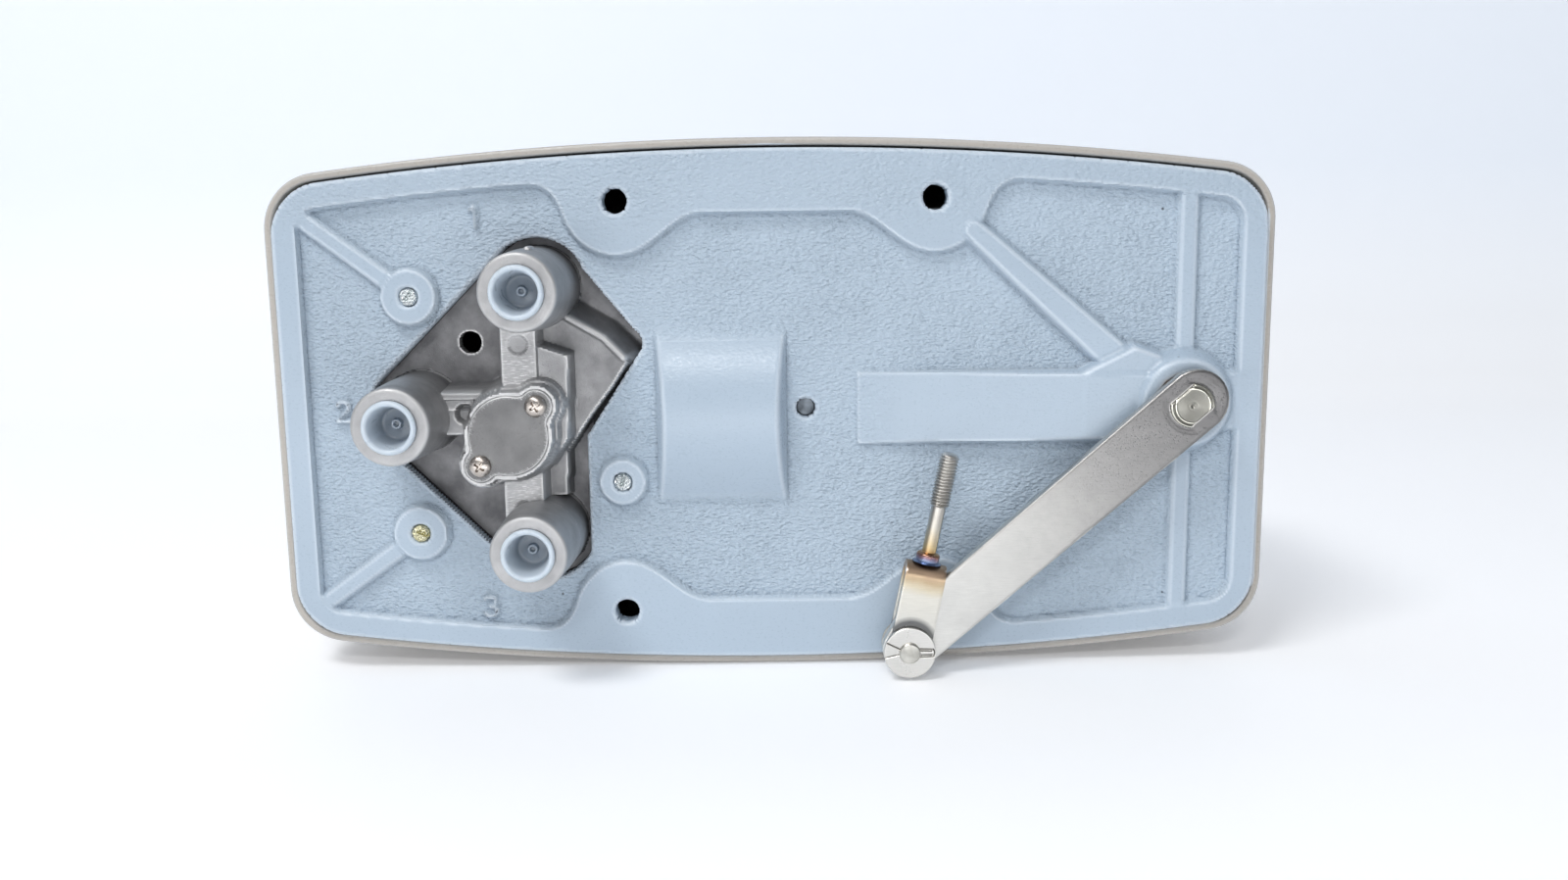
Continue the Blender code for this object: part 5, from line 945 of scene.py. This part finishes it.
def up_clevis(across, depth, up):
    """Places on the clevis: across it, in depth, and up from the pin along the rod."""
    x = PIN[0] + across * math.cos(CLEVIS_LEAN) + up * math.sin(CLEVIS_LEAN)
    z = PIN[1] - across * math.sin(CLEVIS_LEAN) + up * math.cos(CLEVIS_LEAN)
    return np.stack(np.broadcast_arrays(x, depth, z), -1).reshape(-1, 3)


def strap():
    """Middle surface of the strap: up the front ear, half a turn over the bend, down the back ear."""
    leg = np.linspace(0, 1, 40)
    up = -0.0057 + 0.0270 * leg ** 1.3
    turn = np.linspace(0, math.pi, 22)[1:-1]
    v = np.concatenate([up, 0.0213 + 0.0029 * np.sin(turn), up[::-1]])[:, None]
    y = np.concatenate([up * 0 - 0.0029, -0.0029 * np.cos(turn), up * 0 + 0.0029])[:, None] + LEVER_MIDDLE
    half = np.sqrt(np.clip(0.0057 ** 2 - np.minimum(v, 0) ** 2, 1e-12, None))
    t = np.linspace(-1, 1, 15)[None, :]
    return shape("clevis_strap", up_clevis(t * half, y, v), quads(100, 15))


def heat_tinted(name, stops, rough, reflection_centre=None, wear_and_edge_light=0.7):
    """Stainless steel tinted by a weld: colours of the oxide run up along the clevis in bands."""
    top = tuple(up_clevis(0.0, 0.0, 0.060)[0][[0, 2]])
    return satin_stainless(name, (PIN, top), stops, rough, 0.25, 0.05, reflection_centre, wear_and_edge_light)


# The strap's last point centres a painted reflection: a dark halo just above the pin, for the ring mirrored in the
# strap.
bend_steel = heat_tinted("straw_tinted_strap", ((0.0, "D2D1CC"), (1.0, "A68F75"), (0.27, "D2CFC6"), (0.31, "CABFA8"),
                                                (0.345, "B8A488"), (0.385, "AE957E")), 0.26,
                         (PIN[0] + 0.0002, 0.0, PIN[1] + 0.0021))
clevis = strap()
clevis.data.materials.append(bend_steel)
thick = clevis.modifiers.new("thickness", "SOLIDIFY")
thick.thickness, thick.offset, thick.use_even_offset = 0.0020, 0.0, True
soft = clevis.modifiers.new("deburred", "BEVEL")
soft.width, soft.segments, soft.limit_method, soft.angle_limit = 0.0003, 2, "ANGLE", math.radians(60)
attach(clevis, "swivel_clevis")
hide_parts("clevis")


ROD_FOOT, ROD_TIP, DOME = 0.02535, 0.0570, 0.0552
ROD_RADIUS, THREAD_RADIUS, THREAD_DEPTH, PITCH = 0.0020, 0.0028, 0.00052, 0.0009
COLLAR, COLLAR_RADIUS, WELD_TOP = 0.0268, 0.0033, 0.0262


def rod():
    """The rod: radius over height and angle, with a helical thread, a domed tip and a weld collar."""
    v = [np.linspace(ROD_FOOT, 0.0412, 120), np.linspace(0.0412, ROD_TIP, 340)[1:], [ROD_TIP]]
    v = np.concatenate(v)[:, None]
    angle = np.linspace(0, 2 * math.pi, 49)[None, :-1]
    phase = (v / PITCH - angle / (2 * math.pi)) % 1
    tooth = np.clip(1.3 * np.abs(2 * phase - 1) - 0.05, 0, 1)
    threaded = np.clip((v - 0.0416) / 0.0006, 0, 1)
    r = ROD_RADIUS + (THREAD_RADIUS - ROD_RADIUS) * threaded - THREAD_DEPTH * threaded * (1 - tooth)
    dome = np.sqrt(np.clip(1 - ((v - DOME) / 0.00185) ** 2 * (v > DOME), 0, 1))
    r = np.minimum(r, 0.0008 + 0.0020 * dome)
    collar = COLLAR_RADIUS * np.clip(1 - np.abs((v - COLLAR) / 0.00165) ** 6, 0, 1) ** 0.5
    weld = 0.0029 + 0.0012 * np.clip(1 - (v - ROD_FOOT) / 0.0007, 0, 1) ** 2
    r = np.maximum(np.maximum(r, collar), weld * (v < WELD_TOP))
    r[-1] = 0
    points = up_clevis(r * np.cos(angle), LEVER_MIDDLE + r * np.sin(angle), v)
    return shape("clevis_threaded_rod", points, quads(len(v), 48, round_columns=True))


rod_tints = ((0.0, "8091AE"), (1.0, "CBC9C5"), (0.432, "8796B2"), (0.446, "86707F"), (0.458, "96705F"),
             (0.472, "B08D60"), (0.50, "BFAB84"), (0.60, "C0BCB2"), (0.70, "B2AFAA"))
rod_steel = heat_tinted("tempered_rod_steel", rod_tints, 0.24, None, 0.0)
threaded = rod()
threaded.data.materials.append(rod_steel)
welded(threaded, 70)
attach(threaded, "swivel_clevis")
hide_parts("clevis_rod")


RING_OUTER, RING_INNER = 0.0073, 0.0027
RING_FACE, RING_BACK = 0.0150, 0.0138


def ring_seams(x, z):
    """Distance to the seams between the ring's halves: two lines on one side, a prong on the other."""
    a, b = x - PIN[0], z - PIN[1]
    seams = []
    for start, end in ((158, 155), (188, 191)):
        s, e = math.radians(start), math.radians(end)
        seams.append(to_rod(a, b, (0.0028 * math.cos(s), 0.0028 * math.sin(s)),
                            (0.0076 * math.cos(e), 0.0076 * math.sin(e)), 0, 0))
    for side, far in ((0.0012, 0.0066), (-0.0012, 0.0066), (0.0006, 0.0062), (-0.0006, 0.0062)):
        seams.append(to_rod(a, b, (0.0026, side), (far, side * 0.9), 0, 0))
    seams.append(to_rod(a, b, (0.0066, 0.0011), (0.0070, 0.0), 0, 0))
    seams.append(to_rod(a, b, (0.0070, 0.0), (0.0066, -0.0011), 0, 0))
    return np.minimum.reduce(seams)


def ring_voids(x, z):
    """Distance to the nearer of the ring's two edges, negative off the ring."""
    r = np.hypot(x - PIN[0], z - PIN[1])
    return np.minimum(RING_OUTER - r, r - RING_INNER)


def ring_height(x, z):
    """The ring's face: edges rolled off, and hairline seams half a millimetre deep."""
    roll = np.clip(1 - ring_voids(x, z) / 0.0004, 0, 1)
    seam = np.exp(-(ring_seams(x, z) / 0.00014) ** 2)
    return RING_FACE - 0.0003 * (1 - np.sqrt(1 - 0.96 * roll ** 2)) - 0.00050 * seam


ring_steel = satin_stainless("tumbled_ring_stainless", ((PIN[0] - 0.02, PIN[1]), (PIN[0] + 0.02, PIN[1])),
                             ((0.0, "CFCDC8"), (1.0, "DCDAD6")), 0.24, 0.3)
points, faces = relief(0.00012, (PIN[0] - 0.0075, PIN[0] + 0.0075), (PIN[1] - 0.0075, PIN[1] + 0.0075),
                       ring_voids, ring_height, lambda x, z: -RING_BACK + 0 * x)
ring = shape("two_part_retaining_ring", points, faces, ring_steel)
ring.data.set_sharp_from_angle(angle=math.radians(50))
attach(ring, "swivel_clevis")
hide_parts("retaining_ring")
pin_path = softened([(0, -0.0158), (0.0026, -0.0158), (0.0030, -0.0154), (0.0030, -0.0146), (0.0024, -0.0145),
                     (0.0024, -0.0138), (0.0030, -0.0137), (0.0030, -0.0054), (0.0072, -0.0054), (0.0072, -0.0047),
                     (0, -0.0045)], 0.0002, 5)
pin = revolved("clevis_pin_turned", pin_path, PIN, turned_face("faced_pin_end", "E9E7E0", PIN, 0.24), 64)
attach(pin, "swivel_clevis")
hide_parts("clevis_pin")

# Signal capsule's bellows: five folds of rolled bronze on the capsule's bracket. Its top plate
# carries the push rod.


def bellows():
    """A folded tube standing up: its radius runs over height as a wave between two flat ends."""
    low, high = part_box("signal_bellows")
    x, y = (low[0] + high[0]) / 2, (low[1] + high[1]) / 2
    folds = np.linspace(0, 1, 150)
    radius = 0.0120 - 0.0014 * np.cos(10 * math.pi * folds)
    height = low[2] + 0.0020 + (high[2] - low[2] - 0.0030) * folds
    radius = np.concatenate([[0, 0.0139, 0.0140, 0.0138], radius, [0.0118, 0]])[:, None]
    height = np.concatenate([low[2] + np.array([0, 0, 0.0002, 0.0012]), height, [high[2], high[2]]])[:, None]
    angle = np.arange(96)[None, :] * math.pi / 48
    points = np.stack(np.broadcast_arrays(x + radius * np.cos(angle), y + radius * np.sin(angle), height), -1)
    body = shape("signal_bellows_folds", points.reshape(-1, 3), quads(len(radius), 96, round_columns=True),
                 machined("rolled_phosphor_bronze", "B08A55", "7E6238", 0.30))
    return welded(body, 50), (x, y, low[2] + 0.0030), (x, y, high[2] - 0.0010)


folded, foot_of_folds, top_of_folds = bellows()
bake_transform(folded)
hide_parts("signal_bellows")

# Everything behind the case: the cam, follower, beam, capsule and pilot valve keep their
# turned and punched shapes and get the finish of their metal.


FINISHES = {
    "stainless_steel": machined("bright_drawn_stainless", "C8C5BC", "A09C92", 0.26),
    "nickel_screw": nickel,
    "bearing_bronze": machined("oil_soaked_bronze", "9C7444", "6B4E2E", 0.38),
    "black_rubber": machined("black_nitrile_rubber", "1D1D20", "2A2A2C", 0.62, 0.0),
    "machined_aluminium": machined("milled_aluminium", "CDCFD0", "A9ABAD", 0.32),
    "brass": machined("turned_brass", "CFA855", "A88338", 0.26),
}
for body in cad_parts.values():
    for slot in body.material_slots:
        finish = slot.material.name.split(".")[0] if slot.material else ""
        slot.material = FINISHES.get(finish, slot.material)
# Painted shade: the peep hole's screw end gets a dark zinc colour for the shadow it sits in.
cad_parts["plate_screw_5"].material_slots[0].material = machined("shaded_zinc_screw_end", "868D94", "565C62", 0.5)
